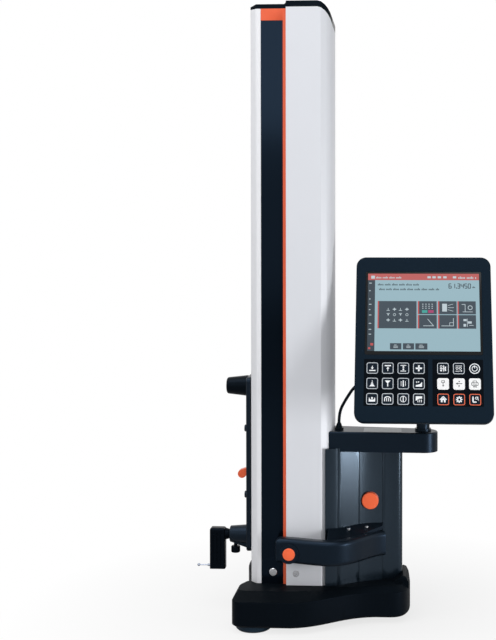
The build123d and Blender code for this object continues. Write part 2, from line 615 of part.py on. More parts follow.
# ---------------------------------------------------------------- slide
def make_carriage():
    """The slide's body: shoes that grip the guideways, a neck through the slot, a belt clamp."""
    inner = BEAM_HALF - BEAM_WALL - SLIDE_GAP
    rail_side = BEAM_HALF - BEAM_WALL - RAIL_DEPTH - SLIDE_GAP
    rail_front = RAIL_X - SLIDE_GAP
    rail_rear = RAIL_X + RAIL_WIDTH + SLIDE_GAP
    body_front = COLUMN_FRONT_X + STRIP_WALL + 3
    body = [(CARRIAGE_REAR_X, CARRIAGE_HALF - 4), (body_front, CARRIAGE_HALF - 4),
            (body_front, NECK_HALF), (PLATE_INNER_X, NECK_HALF)]
    carriage = symmetric_prism(body, CARRIAGE_BOTTOM, CARRIAGE_TOP)
    shoe = [(CARRIAGE_REAR_X, inner), (rail_rear, inner), (rail_rear, rail_side),
            (rail_front, rail_side), (rail_front, inner), (rail_front - 8, inner),
            (rail_front - 14, CARRIAGE_HALF - 5)]
    for start in (CARRIAGE_BOTTOM, CARRIAGE_TOP - SHOE_HEIGHT):
        carriage += symmetric_prism(shoe, start, start + SHOE_HEIGHT)
    belt_front = PULLEY_X - PULLEY_RADIUS - SEAT_GAP - BELT_THICKNESS
    clamp_bottom = CARRIAGE_BOTTOM + BELT_CLAMP_RISE
    carriage += block(CARRIAGE_REAR_X, belt_front - SLIDE_GAP, -BELT_WIDTH, BELT_WIDTH,
                      clamp_bottom, clamp_bottom + BELT_CLAMP_HEIGHT)
    return carriage


def make_slider_plate():
    """The plate on the front of the slide, slotted for the clamp lever."""
    plate = block(PLATE_FACE_X, PLATE_INNER_X, -PLATE_HALF, PLATE_HALF, PLATE_BOTTOM, PLATE_TOP)
    plate = fillet(plate.edges().filter_by(Axis.X), 8.0)
    plate = chamfer(plate.faces().sort_by(Axis.X)[0].edges(), 1.5)
    plate -= block(PLATE_FACE_X, PLATE_INNER_X, -LEVER_SLOT_HALF, LEVER_SLOT_HALF,
                   LEVER_PIN_Z - LEVER_SLOT_DOWN, LEVER_PIN_Z + LEVER_SLOT_UP)
    reach = LEVER_SLOT_HALF + LEVER_PIN_SEAT + SLIDE_GAP
    return plate - rod((LEVER_PIN_X, -reach, LEVER_PIN_Z), (0, 1, 0),
                       LEVER_PIN_RADIUS + RUNNING_GAP, 2 * reach)


def make_reader_head():
    """The reader on the slide that runs along the glass scale."""
    wall = BEAM_HALF - BEAM_WALL
    near = SCALE_THICKNESS + SLIDE_GAP - wall
    head = block(CARRIAGE_REAR_X, SCALE_X + SCALE_WIDTH / 2, near, near + READER_DEPTH,
                 READER_Z, READER_Z + READER_HEIGHT)
    return chamfer(head.edges().filter_by(Axis.Z).sort_by(Axis.X)[-2:], 2.0)


def make_grip_knob():
    """The tapered knob at the top of the slide."""
    knob = rod((PLATE_FACE_X, 0, KNOB_Z), (-1, 0, 0), KNOB_ROOT_RADIUS, KNOB_LENGTH,
               KNOB_TIP_RADIUS)
    return fillet(knob.edges().sort_by(Axis.X)[0], 4.0)


def make_plate_screws():
    """The two knurled screws that hold the plate on the slide."""
    screws = Part()
    for height in PLATE_SCREWS_Z:
        screw = rod((PLATE_FACE_X, 0, height), (-1, 0, 0), PLATE_SCREW_RADIUS,
                    PLATE_SCREW_PROUD)
        screw = chamfer(screw.edges().sort_by(Axis.X)[0], 0.8)
        screws += screw - hex_socket((PLATE_FACE_X - PLATE_SCREW_PROUD, 0, height),
                                     (1, 0, 0), 3.0, 3.0)
    return screws


def make_clamp_lever():
    """The lever that locks the slide, on a cross pin in the plate's slot."""
    root_radius = PLATE_THICKNESS / 2 - SEAT_GAP
    tip = Pos(LEVER_PIN_X - LEVER_REACH, LEVER_PIN_Z - LEVER_DROP)
    paddle = make_hull([Pos(LEVER_PIN_X, LEVER_PIN_Z) * Circle(root_radius).edge(),
                        tip * Circle(LEVER_TIP_RADIUS).edge()])
    lever = extrude(Plane.XZ * paddle, LEVER_SLOT_HALF - SLIDE_GAP, both=True)
    reach = LEVER_SLOT_HALF + LEVER_PIN_SEAT
    return lever + rod((LEVER_PIN_X, -reach, LEVER_PIN_Z), (0, 1, 0), LEVER_PIN_RADIUS, 2 * reach)


def make_probe_boss():
    """The tapered socket that holds the probe's shaft, with its clamping lug below."""
    face = PLATE_FACE_X
    boss = rod((face, 0, PROBE_Z), (-1, 0, 0), BOSS_ROOT_RADIUS, BOSS_LENGTH, BOSS_TIP_RADIUS)
    boss = chamfer(boss.edges().sort_by(Axis.X)[0], 1.0)
    low = CLAMP_KNOB_BOTTOM + CLAMP_KNOB_HEIGHT
    lug = [(face, low - 2), (face, PROBE_Z), (face - BOSS_LENGTH + 3, PROBE_Z),
           (face - BOSS_LENGTH + 3, low + 8), (CLAMP_KNOB_X + CLAMP_KNOB_RADIUS, low + 3)]
    boss += side_prism(lug, CLAMP_LUG_HALF)
    boss -= rod((face - BOSS_LENGTH, 0, PROBE_Z), (1, 0, 0), PROBE_SHAFT_RADIUS + RUNNING_GAP,
                BOSS_LENGTH - 2)
    return boss - rod((CLAMP_KNOB_X, 0, low), (0, 0, 1), CLAMP_STEM_RADIUS + RUNNING_GAP,
                      PROBE_Z - low)


def make_clamp_knob():
    """The knurled screw under the socket that clamps the probe's shaft."""
    knob = rod((CLAMP_KNOB_X, 0, CLAMP_KNOB_BOTTOM), (0, 0, 1), CLAMP_KNOB_RADIUS,
               CLAMP_KNOB_HEIGHT)
    knob = chamfer(knob.edges(), 1.2)
    for turn in range(10):
        angle = radians(36 * turn)
        reach = CLAMP_KNOB_RADIUS + 0.5
        knob -= rod((CLAMP_KNOB_X + reach * cos(angle), reach * sin(angle), CLAMP_KNOB_BOTTOM),
                    (0, 0, 1), 1.2, CLAMP_KNOB_HEIGHT)
    neck_top = PROBE_Z - PROBE_SHAFT_RADIUS - SLIDE_GAP
    neck_bottom = CLAMP_KNOB_BOTTOM + CLAMP_KNOB_HEIGHT
    return knob + rod((CLAMP_KNOB_X, 0, neck_bottom), (0, 0, 1), CLAMP_STEM_RADIUS,
                      neck_top - neck_bottom)


def make_probe_holder():
    """The cranked holder: a shaft in the socket and a fluted leg down to the stylus."""
    leg = block(HOLDER_FRONT_X, HOLDER_REAR_X, -HOLDER_HALF_WIDTH, HOLDER_HALF_WIDTH,
                HOLDER_BOTTOM, HOLDER_TOP)
    leg = fillet(leg.edges().filter_by(Axis.Z), 2.5)
    leg = fillet(leg.edges().filter_by(Axis.Y).sort_by(Axis.Z)[-2:], 4.0)
    pitch = (HOLDER_REAR_X - HOLDER_FRONT_X) / (HOLDER_FLUTES + 1)
    for number in range(1, HOLDER_FLUTES + 1):
        x = HOLDER_FRONT_X + pitch * number
        flute = block(x - FLUTE_HALF, x + FLUTE_HALF, HOLDER_HALF_WIDTH - FLUTE_HALF,
                      HOLDER_HALF_WIDTH + 1,
                      HOLDER_BOTTOM + 6, HOLDER_TOP - 8)
        leg -= pair(flute)
    end = PLATE_FACE_X - BOSS_LENGTH
    leg += rod((HOLDER_REAR_X, 0, PROBE_Z), (1, 0, 0), PROBE_SHAFT_RADIUS + 3.0,
               end - 1.5 - HOLDER_REAR_X, PROBE_SHAFT_RADIUS + 1.0)
    return leg + rod((HOLDER_REAR_X, 0, PROBE_Z), (1, 0, 0), PROBE_SHAFT_RADIUS,
                     end + BOSS_LENGTH - 6 - HOLDER_REAR_X)


def make_stylus():
    """The carbide ball, its stem and the hexagonal collar against the leg."""
    stylus = Pos(STYLUS_BALL_X, 0, STYLUS_Z) * Sphere(STYLUS_BALL_RADIUS)
    stylus += rod((HOLDER_FRONT_X, 0, STYLUS_Z), (-1, 0, 0), STYLUS_STEM_RADIUS,
                  HOLDER_FRONT_X - STYLUS_BALL_X)
    return stylus + rod((HOLDER_FRONT_X, 0, STYLUS_Z), (-1, 0, 0), STYLUS_COLLAR_RADIUS, 5.0,
                        STYLUS_COLLAR_RADIUS - 0.8)


# ---------------------------------------------------------------- rear unit
def unit_solid(grow, bottom, top):
    """The rear unit's outline as an upright solid, grown outwards, fitted to the column."""
    points = [(x, y - grow) for x, y in UNIT_POINTS]
    near = Spline(*points, (UNIT_REAR_X + grow, 0), tangents=[(1, 0.28), (0, 1)])
    front = Line((points[0][0], -points[0][1]), points[0])
    outline = Curve() + [near, mirror(near, about=Plane.XZ), front]
    solid = extrude(Plane.XY.offset(bottom) * make_face(outline), top - bottom)
    clear = SEAT_GAP if grow >= 0 else UNIT_WALL
    return solid - symmetric_prism(shell_half(clear), bottom, top)


def unit_wall_y(x):
    """The Y of the unit's near wall at an X, taken straight between the outline's points."""
    for (x0, y0), (x1, y1) in zip(UNIT_POINTS, UNIT_POINTS[1:]):
        if x0 <= x <= x1:
            return y0 + (y1 - y0) * (x - x0) / (x1 - x0)
    raise ValueError(x)


def make_rear_housing():
    """The moulded housing of the power and air unit, with its upright joint grooves."""
    housing = unit_solid(0.0, BASE_TOP, UNIT_TOP)
    housing -= unit_solid(-UNIT_WALL, BASE_TOP, UNIT_TOP - UNIT_WALL)
    for x in GROOVES_X:
        wall = -unit_wall_y(x)
        groove = block(x - GROOVE_WIDTH / 2, x + GROOVE_WIDTH / 2, wall - GROOVE_DEPTH,
                       wall + 6, BASE_TOP, UNIT_TOP)
        housing -= pair(groove)
    front_y = unit_wall_y(UNIT_BUTTON_X) - UNIT_BUTTON_PROUD
    return housing - rod((UNIT_BUTTON_X, front_y - 6, UNIT_BUTTON_Z), (0, 1, 0),
                         UNIT_BUTTON_RADIUS + RUNNING_GAP, UNIT_BUTTON_LENGTH + 8)


def make_unit_button():
    """The large push button in the unit's near wall."""
    front_y = unit_wall_y(UNIT_BUTTON_X) - UNIT_BUTTON_PROUD
    button = rod((UNIT_BUTTON_X, front_y, UNIT_BUTTON_Z), (0, 1, 0), UNIT_BUTTON_RADIUS,
                 UNIT_BUTTON_LENGTH)
    return chamfer(button.edges().sort_by(Axis.Y)[0], 1.2)


def make_battery_pack():
    """The battery standing against the housing's front wall."""
    front = SHELL_REAR_X + UNIT_WALL
    pack = block(front, front + BATTERY_THICKNESS, -BATTERY_HALF_WIDTH, BATTERY_HALF_WIDTH,
                 BASE_TOP, BASE_TOP + BATTERY_HEIGHT)
    return fillet(pack.edges().filter_by(Axis.Z), 3.0)


def make_air_compressor():
    """The small compressor that feeds the air pads: cylinder, head and outlet."""
    x = SHELL_REAR_X + UNIT_WALL + PUMP_BEHIND_WALL
    pump = rod((x, 0, BASE_TOP), (0, 0, 1), PUMP_RADIUS, PUMP_HEIGHT)
    for step in range(3):
        fin_z = BASE_TOP + PUMP_FIN_START + PUMP_FIN_PITCH * step
        pump += rod((x, 0, fin_z), (0, 0, 1), PUMP_RADIUS + 2.5, 3.0)
    head_z = BASE_TOP + PUMP_HEIGHT
    pump += block(x - 14, x + 14, -12, 12, head_z, head_z + PUMP_HEAD_HEIGHT)
    return pump + rod((x + 6, 0, head_z + PUMP_HEAD_HEIGHT), (0, 0, 1), 4.0, 10.0)


# ---------------------------------------------------------------- arm and display
def make_display_arm():
    """The flat arm from the unit's top out to the boss that carries the display."""
    bar = make_hull([Line((ARM_FRONT_X, ARM_NEAR_Y), (ARM_FRONT_X, ARM_FAR_Y)),
                     (Pos(SWIVEL_X, SWIVEL_Y) * Circle(ARM_BOSS_RADIUS)).edge()])
    arm = extrude(Plane.XY.offset(ARM_BOTTOM) * bar, ARM_TOP - ARM_BOTTOM)
    corners = arm.edges().filter_by(Axis.Z).sort_by(Axis.X)[:2]
    arm = fillet(corners, 6.0)
    arm = fillet(arm.faces().sort_by(Axis.Z)[-1].edges(), 2.5)
    arm -= unit_solid(SEAT_GAP, ARM_BOTTOM - 1, UNIT_TOP)
    arm -= symmetric_prism(shell_half(SEAT_GAP), ARM_BOTTOM, ARM_TOP)
    arm -= rod((SWIVEL_X, SWIVEL_Y, ARM_TOP - 25), (0, 0, 1), SPIGOT_RADIUS + RUNNING_GAP, 26)
    return arm - rod((GLAND_X, GLAND_Y, ARM_TOP - 8), (0, 0, 1), GLAND_RADIUS - 1.5, 9)


def make_cable_gland():
    """The gland that the display's cable leaves the arm by."""
    gland = rod((GLAND_X, GLAND_Y, ARM_TOP - 8), (0, 0, 1), GLAND_RADIUS - 1.5, 8)
    gland += extrude(Plane.XY.offset(ARM_TOP) * Pos(GLAND_X, GLAND_Y)
                     * RegularPolygon(GLAND_RADIUS + 1.5, 6), 4.0)
    return gland + rod((GLAND_X, GLAND_Y, ARM_TOP + 4), (0, 0, 1), GLAND_RADIUS,
                       GLAND_HEIGHT - 4, CABLE_RADIUS + 0.8)


def cable_route():
    """The cable's path from the gland up and over to the socket on the swivel post."""
    start = Vector(GLAND_X, GLAND_Y, ARM_TOP + GLAND_HEIGHT)
    end = Vector(SWIVEL_X - POST_RADIUS - SOCKET_LENGTH, SWIVEL_Y, SOCKET_Z)
    loop = [start + Vector(out, 0, up) for out, up in CABLE_LOOP]
    return [start, *loop, end - Vector(CABLE_RUN_IN, 0, 0), end]


def make_display_cable():
    """The cable: straight runs joined by tangent arcs."""
    route = cable_route()
    radii = []
    for before, point, after in zip(route, route[1:], route[2:]):
        turn = radians((point - before).get_angle(after - point))
        shorter = min((point - before).length, (after - point).length)
        radii.append(0.45 * shorter / tan(turn / 2))
    path = FilletPolyline(*route, radius=radii)
    print("cable radii", [round(r, 1) for r in radii], "length", round(path.length, 1))
    section = Plane(origin=route[0], z_dir=route[1] - route[0]) * Circle(CABLE_RADIUS)
    return sweep(section, path)


def make_swivel_post():
    """The post on the arm's boss: spigot, socket for the cable and the forked hinge head."""
    post = rod((SWIVEL_X, SWIVEL_Y, ARM_TOP - 24), (0, 0, 1), SPIGOT_RADIUS, 25)
    post += rod((SWIVEL_X, SWIVEL_Y, ARM_TOP + SLIDE_GAP), (0, 0, 1), POST_RADIUS + 2.5, 4.0)
    post += rod((SWIVEL_X, SWIVEL_Y, ARM_TOP + 4), (0, 0, 1), POST_RADIUS,
                HINGE_Z - 44 - ARM_TOP)
    post += rod((SWIVEL_X, SWIVEL_Y, SOCKET_Z), (-1, 0, 0), SOCKET_RADIUS,
                POST_RADIUS + SOCKET_LENGTH)
    half = HINGE_LUG_WIDTH / 2 + SLIDE_GAP + HINGE_EAR
    profile = make_hull([Pos(HINGE_Y, HINGE_Z) * Circle(HINGE_RADIUS).edge(),
                         Pos(SWIVEL_Y, HINGE_Z - 46) * Circle(POST_RADIUS).edge()])
    head = Pos(SWIVEL_X, 0, 0) * extrude(Plane.YZ * profile, half, both=True)
    head -= block(SWIVEL_X - HINGE_LUG_WIDTH / 2 - SLIDE_GAP, SWIVEL_X + HINGE_LUG_WIDTH / 2
                  + SLIDE_GAP, HINGE_Y - 30, SWIVEL_Y + 30, HINGE_Z - 30, HINGE_Z + 30)
    post += head
    pin = rod((SWIVEL_X - half, HINGE_Y, HINGE_Z), (1, 0, 0), HINGE_PIN_RADIUS, 2 * half)
    return post + pin


def display_plane(depth=0.0):
    """The leaning display's plane: x to the right, y up the panel, z out of its face."""
    lean = radians(DISPLAY_LEAN)
    normal = Vector(0, -cos(lean), sin(lean))
    middle = Vector(SWIVEL_X, DISPLAY_Y, DISPLAY_Z)
    return Plane(origin=middle + normal * depth, x_dir=(1, 0, 0), z_dir=normal)


def glass_middle():
    """The height of the screen's middle above the panel's middle."""
    return DISPLAY_HEIGHT / 2 - GLASS_TOP - GLASS_HEIGHT / 2


def panel_slab(inset, corner, back, front):
    """A rounded slab of the panel's outline between two depths, in the panel's own frame."""
    face = RectangleRounded(DISPLAY_WIDTH - 2 * inset, DISPLAY_HEIGHT - 2 * inset, corner)
    return extrude(Plane.XY.offset(back) * face, front - back)


def key_places():
    """Each key's name and its place on the panel, in rows from the top."""
    names = (("touch_down", "touch_up", "slot_width", "midpoint", "program", "display_mode",
              "power"),
             ("bore", "shaft", "land_width", "flatness", "zero", "preset", "print"),
             ("peak", "valley", "squareness", "straightness", "home", "settings", "probe"))
    edge = DISPLAY_HEIGHT / 2
    under = edge - GLASS_TOP - GLASS_HEIGHT
    places = {}
    for row, down in zip(names, KEY_ROWS):
        for name, across in zip(row, KEY_COLUMNS):
            places["key_" + name] = (across * DISPLAY_WIDTH, under - down * (edge + under))
    return places


def key_face(name, grow):
    """A key's outline, grown by a gap: round for the power key, else a rounded square."""
    size = KEY_SIZE + 2 * grow
    if name == "key_power":
        return RegularPolygon(size / 2, 16)
    square = Rectangle(size, size)
    return chamfer(square.vertices(), KEY_CORNER * 0.6)


def make_display_frame():
    """The display's front shell, with the screen's window and an opening for each key."""
    frame = panel_slab(0, DISPLAY_CORNER, -FRAME_DEPTH, 0)
    frame = fillet(frame.faces().sort_by(Axis.Z)[-1].edges(), 2.0)
    frame -= panel_slab(FRAME_WALL, DISPLAY_CORNER - FRAME_WALL, -FRAME_DEPTH, -FRAME_WALL)
    window = Pos(0, glass_middle()) * RectangleRounded(GLASS_WIDTH + 2 * SEAT_GAP,
                                                       GLASS_HEIGHT + 2 * SEAT_GAP, 3.0)
    frame -= extrude(Plane.XY.offset(-FRAME_WALL) * window, FRAME_WALL)
    for name, (x, y) in key_places().items():
        frame -= extrude(Plane.XY.offset(-FRAME_WALL) * Pos(x, y) * key_face(name, KEY_GAP),
                         FRAME_WALL)
    return display_plane() * frame


def make_lcd_panel():
    """The screen: its cover glass in the window and the module behind it."""
    glass = Pos(0, glass_middle()) * RectangleRounded(GLASS_WIDTH, GLASS_HEIGHT, 2.8)
    panel = extrude(Plane.XY.offset(-FRAME_WALL) * glass, FRAME_WALL - 0.3)
    behind = Pos(0, glass_middle(), -FRAME_WALL - MODULE_DEPTH / 2)
    module = behind * Box(GLASS_WIDTH + 2 * MODULE_MARGIN, GLASS_HEIGHT + 2 * MODULE_MARGIN,
                          MODULE_DEPTH)
    return display_plane() * (panel + module)


def hinge_in_panel():
    """The tilt hinge's place in the panel's own frame."""
    return display_plane().to_local_coords(Vector(SWIVEL_X, HINGE_Y, HINGE_Z))


def make_display_back():
    """The display's rear shell, tapered, with the hinge lug."""
    rim = Plane.XY.offset(-FRAME_DEPTH)
    floor = Plane.XY.offset(-FRAME_DEPTH - BACK_DEPTH)
    outline = RectangleRounded(DISPLAY_WIDTH, DISPLAY_HEIGHT, DISPLAY_CORNER)
    small = RectangleRounded(DISPLAY_WIDTH - 2 * BACK_TAPER, DISPLAY_HEIGHT - 2 * BACK_TAPER,
                             DISPLAY_CORNER)
    back = loft([rim * outline, floor * small])
    wall = FRAME_WALL
    inner = RectangleRounded(DISPLAY_WIDTH - 2 * wall, DISPLAY_HEIGHT - 2 * wall,
                             DISPLAY_CORNER - wall)
    inner_small = RectangleRounded(DISPLAY_WIDTH - 2 * BACK_TAPER - 2 * wall,
                                   DISPLAY_HEIGHT - 2 * BACK_TAPER - 2 * wall,
                                   DISPLAY_CORNER - wall)
    inner_floor = Plane.XY.offset(-FRAME_DEPTH - BACK_DEPTH + wall)
    back -= loft([rim * inner, inner_floor * inner_small])
    hinge = hinge_in_panel()
    back_z = -FRAME_DEPTH - BACK_DEPTH
    half = HINGE_LUG_WIDTH / 2
    lug = Pos(0, hinge.Y, (hinge.Z + back_z) / 2) * Box(HINGE_LUG_WIDTH, 2 * HINGE_RADIUS,
                                                        back_z - hinge.Z)
    lug += rod((-half, hinge.Y, hinge.Z), (1, 0, 0), HINGE_RADIUS, HINGE_LUG_WIDTH)
    lug -= rod((-half, hinge.Y, hinge.Z), (1, 0, 0), HINGE_PIN_RADIUS + RUNNING_GAP,
               HINGE_LUG_WIDTH)
    return display_plane() * (back + lug)


def make_key(name, place):
    """One key: a cap in its opening and a flange that keeps it behind the front shell."""
    under = -FRAME_WALL - KEY_GAP
    cap = extrude(Plane.XY.offset(under) * key_face(name, 0.0), KEY_PROUD - under)
    side = KEY_SIZE + 2 * KEY_LIP
    cap += extrude(Plane.XY.offset(under - KEY_FLANGE) * Rectangle(side, side), KEY_FLANGE)
    return display_plane() * Pos(*place) * cap


# ---------------------------------------------------------------- grip
def web_slope():
    """The web's direction along the unit's wall, across it, and its rise across."""
    (x0, y0), (x1, y1) = UNIT_POINTS[0], UNIT_POINTS[3]
    length = hypot(x1 - x0, y1 - y0)
    along = Vector((x1 - x0) / length, (y1 - y0) / length)
    return along, Vector(-along.Y, along.X), 0.5


def web_height(x, y):
    """The height of the web's top face over a point of the plan."""
    along, across, rise = web_slope()
    start = Vector(*UNIT_POINTS[0])
    top = GRIP_BOTTOM + GRIP_HEIGHT + WEB_OVER_GRIP
    return top + rise * (Vector(x, y) - start).dot(across)


def make_grip_handle():
    """The J-shaped grip from the column's side round to the unit, with its sloping web."""
    middle = GRIP_BOTTOM + GRIP_HEIGHT / 2
    path = Spline(*[(x, y, middle) for x, y in GRIP_POINTS])
    heading = path % 0
    section = Plane(origin=path @ 0, x_dir=(heading.Y, -heading.X, 0), z_dir=heading)
    bar = sweep(section * RectangleRounded(GRIP_THICKNESS, GRIP_HEIGHT, GRIP_EDGE), path)
    reach = 2 * (GRIP_POINTS[-1][0] - GRIP_FRONT)
    end_shape = Pos(GRIP_FRONT + reach / 2, middle) * RectangleRounded(reach, GRIP_HEIGHT,
                                                                       GRIP_END_RADIUS)
    bar = bar & extrude(Plane.XZ * end_shape, 3 * SHELL_HALF, both=True)
    bar += rod((GRIP_BUTTON_X, GRIP_RING_Y, GRIP_BUTTON_Z), (0, 1, 0), GRIP_RING_RADIUS,
               -SHELL_HALF - GRIP_RING_Y)
    along, across, rise = web_slope()
    normal = Vector(-rise * across.X, -rise * across.Y, 1)
    start = Vector(*UNIT_POINTS[0], web_height(*UNIT_POINTS[0]))
    slab = Plane(origin=start, x_dir=along, z_dir=normal) * Pos(0, 0, -WEB_THICKNESS / 2)
    slab = slab * Box(2 * UNIT_REAR_X, 2 * UNIT_REAR_X, WEB_THICKNESS)
    begin = UNIT_POINTS[0][0] + WEB_START
    region = [(begin, UNIT_POINTS[0][1] + WEB_INTO_UNIT / 2), (begin, GRIP_POINTS[1][1])]
    region += GRIP_POINTS[2:] + [(x, y + WEB_INTO_UNIT) for x, y in UNIT_POINTS[3:0:-1]]
    bar += slab & prism(region, GRIP_BOTTOM, GRIP_BOTTOM + 2 * GRIP_HEIGHT)
    bar -= unit_solid(SEAT_GAP, BASE_TOP, UNIT_TOP)
    bar -= symmetric_prism(shell_half(0.0), BASE_TOP, UNIT_TOP)
    for x, y in GRIP_SCREWS:
        z = web_height(x, y)
        bar -= rod((x, y, z - 4.5), (0, 0, 1), GRIP_SCREW_RADIUS + RUNNING_GAP, 12)
        bar -= rod((x, y, z + 0.6), (0, 0, 1), GRIP_SCREW_HEAD_RADIUS + SEAT_GAP, 8)
    return bar - rod((GRIP_BUTTON_X, GRIP_RING_Y, GRIP_BUTTON_Z), (0, 1, 0),
                     GRIP_BUTTON_RADIUS + RUNNING_GAP, 20)


def make_grip_button():
    """The push button in the grip's ring."""
    button = rod((GRIP_BUTTON_X, GRIP_RING_Y - GRIP_BUTTON_PROUD, GRIP_BUTTON_Z), (0, 1, 0),
                 GRIP_BUTTON_RADIUS, GRIP_BUTTON_LENGTH)
    return chamfer(button.edges().sort_by(Axis.Y)[0], 1.0)


# ---------------------------------------------------------------- all the pieces
def make_parts():
    """Every piece by name, placed round the column's own axis."""
    parts = {
        "base_casting": make_base_casting(),
        "base_cover": make_base_cover(),
        "air_pads": make_air_pads(),
        "column_beam": make_column_beam(),
        "front_strips": make_front_strips(),
        "side_inlays": make_side_inlays(),
        "accent_trims": make_accent_trims(),
        "column_shell": make_column_shell(),
        "top_cap": make_top_cap(),
        "case_screws": make_case_screws(),
        "drive_motor": make_drive_motor(),
        "drive_belt": make_drive_belt(),
        "linear_scale": make_linear_scale(),
        "top_pulley": make_top_pulley(),
        "drive_pulley": make_drive_pulley(),
        "counterweight": make_counterweight(),
        "carriage": make_carriage(),
        "slider_plate": make_slider_plate(),
        "reader_head": make_reader_head(),
        "grip_knob": make_grip_knob(),
        "plate_screws": make_plate_screws(),
        "clamp_lever": make_clamp_lever(),
        "probe_boss": make_probe_boss(),
        "clamp_knob": make_clamp_knob(),
        "probe_holder": make_probe_holder(),
        "stylus": make_stylus(),
        "rear_housing": make_rear_housing(),
        "unit_button": make_unit_button(),
        "battery_pack": make_battery_pack(),
        "air_compressor": make_air_compressor(),
        "display_arm": make_display_arm(),
        "cable_gland": make_cable_gland(),
        "display_cable": make_display_cable(),
        "swivel_post": make_swivel_post(),
        "display_frame": make_display_frame(),
        "display_back": make_display_back(),
        "lcd_panel": make_lcd_panel(),
        "grip_handle": make_grip_handle(),
        "grip_button": make_grip_button(),
    }
    for name, place in key_places().items():
        parts[name] = make_key(name, place)
    return parts


if __name__ == "__main__":
    os.makedirs("parts", exist_ok=True)
    for node, part in make_parts().items():
        export_step(Pos(COLUMN_X, COLUMN_Y, 0) * part, "parts/" + node + ".step")
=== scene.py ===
"""Height gauge: finishes, screen, key legends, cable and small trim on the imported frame.

Lengths are metres in the frame's axes: +Z up, -X the probe side, -Y the operator's side.
Sizes written in millimetres are turned into metres by MM.
"""

import json
import logging
import math
from dataclasses import dataclass, field
from enum import Enum

import bmesh
import bpy
from mathutils import Matrix, Vector

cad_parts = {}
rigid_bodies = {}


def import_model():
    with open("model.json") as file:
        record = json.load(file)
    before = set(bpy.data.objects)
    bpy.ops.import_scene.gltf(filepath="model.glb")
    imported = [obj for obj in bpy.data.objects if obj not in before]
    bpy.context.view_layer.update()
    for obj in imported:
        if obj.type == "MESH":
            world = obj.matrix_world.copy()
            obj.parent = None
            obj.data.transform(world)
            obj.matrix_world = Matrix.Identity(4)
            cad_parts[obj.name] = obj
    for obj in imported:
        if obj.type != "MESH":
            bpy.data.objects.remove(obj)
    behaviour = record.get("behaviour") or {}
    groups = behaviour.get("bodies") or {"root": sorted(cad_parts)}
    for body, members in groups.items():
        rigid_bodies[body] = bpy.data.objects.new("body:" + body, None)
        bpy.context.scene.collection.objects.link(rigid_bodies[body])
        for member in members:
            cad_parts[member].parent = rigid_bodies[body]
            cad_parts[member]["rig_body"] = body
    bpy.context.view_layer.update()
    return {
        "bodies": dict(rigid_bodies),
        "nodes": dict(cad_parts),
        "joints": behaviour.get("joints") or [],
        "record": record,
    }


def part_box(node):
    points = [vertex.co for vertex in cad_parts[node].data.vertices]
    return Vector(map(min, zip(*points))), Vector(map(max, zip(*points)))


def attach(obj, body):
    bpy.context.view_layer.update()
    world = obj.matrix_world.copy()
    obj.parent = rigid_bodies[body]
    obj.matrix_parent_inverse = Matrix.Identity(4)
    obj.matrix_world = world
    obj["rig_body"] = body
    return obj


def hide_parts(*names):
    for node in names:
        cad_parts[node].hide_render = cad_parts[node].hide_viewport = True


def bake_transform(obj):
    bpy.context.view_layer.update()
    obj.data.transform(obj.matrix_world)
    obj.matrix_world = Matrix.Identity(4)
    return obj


MM = 0.001
Pair = tuple[float, float]
Triple = tuple[float, float, float]
Quad = tuple[float, float, float, float]
Socket = bpy.types.NodeSocket
log = logging.getLogger("height_gauge")


# ---------------- colour and shader maths
def tone(code: str) -> Quad:
    """A hexadecimal sRGB colour as linear red, green and blue, with full alpha.

    Args:
        code: six hexadecimal digits.

    Returns:
        The four linear numbers.
    """
    parts = [int(code[i:i + 2], 16) / 255 for i in (0, 2, 4)]
    linear = [p / 12.92 if p <= 0.04045 else ((p + 0.055) / 1.055) ** 2.4 for p in parts]
    return *linear, 1.0


class Value:
    """A number socket in a material: operators on it add Math nodes."""

    def __init__(self, sheet: "Tree", socket: Socket) -> None:
        """Wraps one output socket of a sheet."""
        self.sheet = sheet
        self.socket = socket

    def maths(self, operation: str, first: object, second: object = 0.0) -> "Value":
        """The result of a new Math node on two Values or numbers."""
        node = self.sheet.node("ShaderNodeMath", {"operation": operation}, {0: first, 1: second})
        return Value(self.sheet, node.outputs[0])

    def __add__(self, other: object) -> "Value":
        """The sum."""
        return self.maths("ADD", self, other)

    __radd__ = __add__

    def __sub__(self, other: object) -> "Value":
        """This less the other."""
        return self.maths("SUBTRACT", self, other)

    def __rsub__(self, other: object) -> "Value":
        """The other less this."""
        return self.maths("SUBTRACT", other, self)

    def __mul__(self, other: object) -> "Value":
        """The product."""
        return self.maths("MULTIPLY", self, other)

    def __truediv__(self, other: object) -> "Value":
        """This over the other."""
        return self.maths("DIVIDE", self, other)

    def size(self) -> "Value":
        """The value without its sign."""
        return self.maths("ABSOLUTE", self)

    def clamped(self) -> "Value":
        """The value kept between 0 and 1."""
        return self.maths("MINIMUM", self.maths("MAXIMUM", self, 0.0), 1.0)


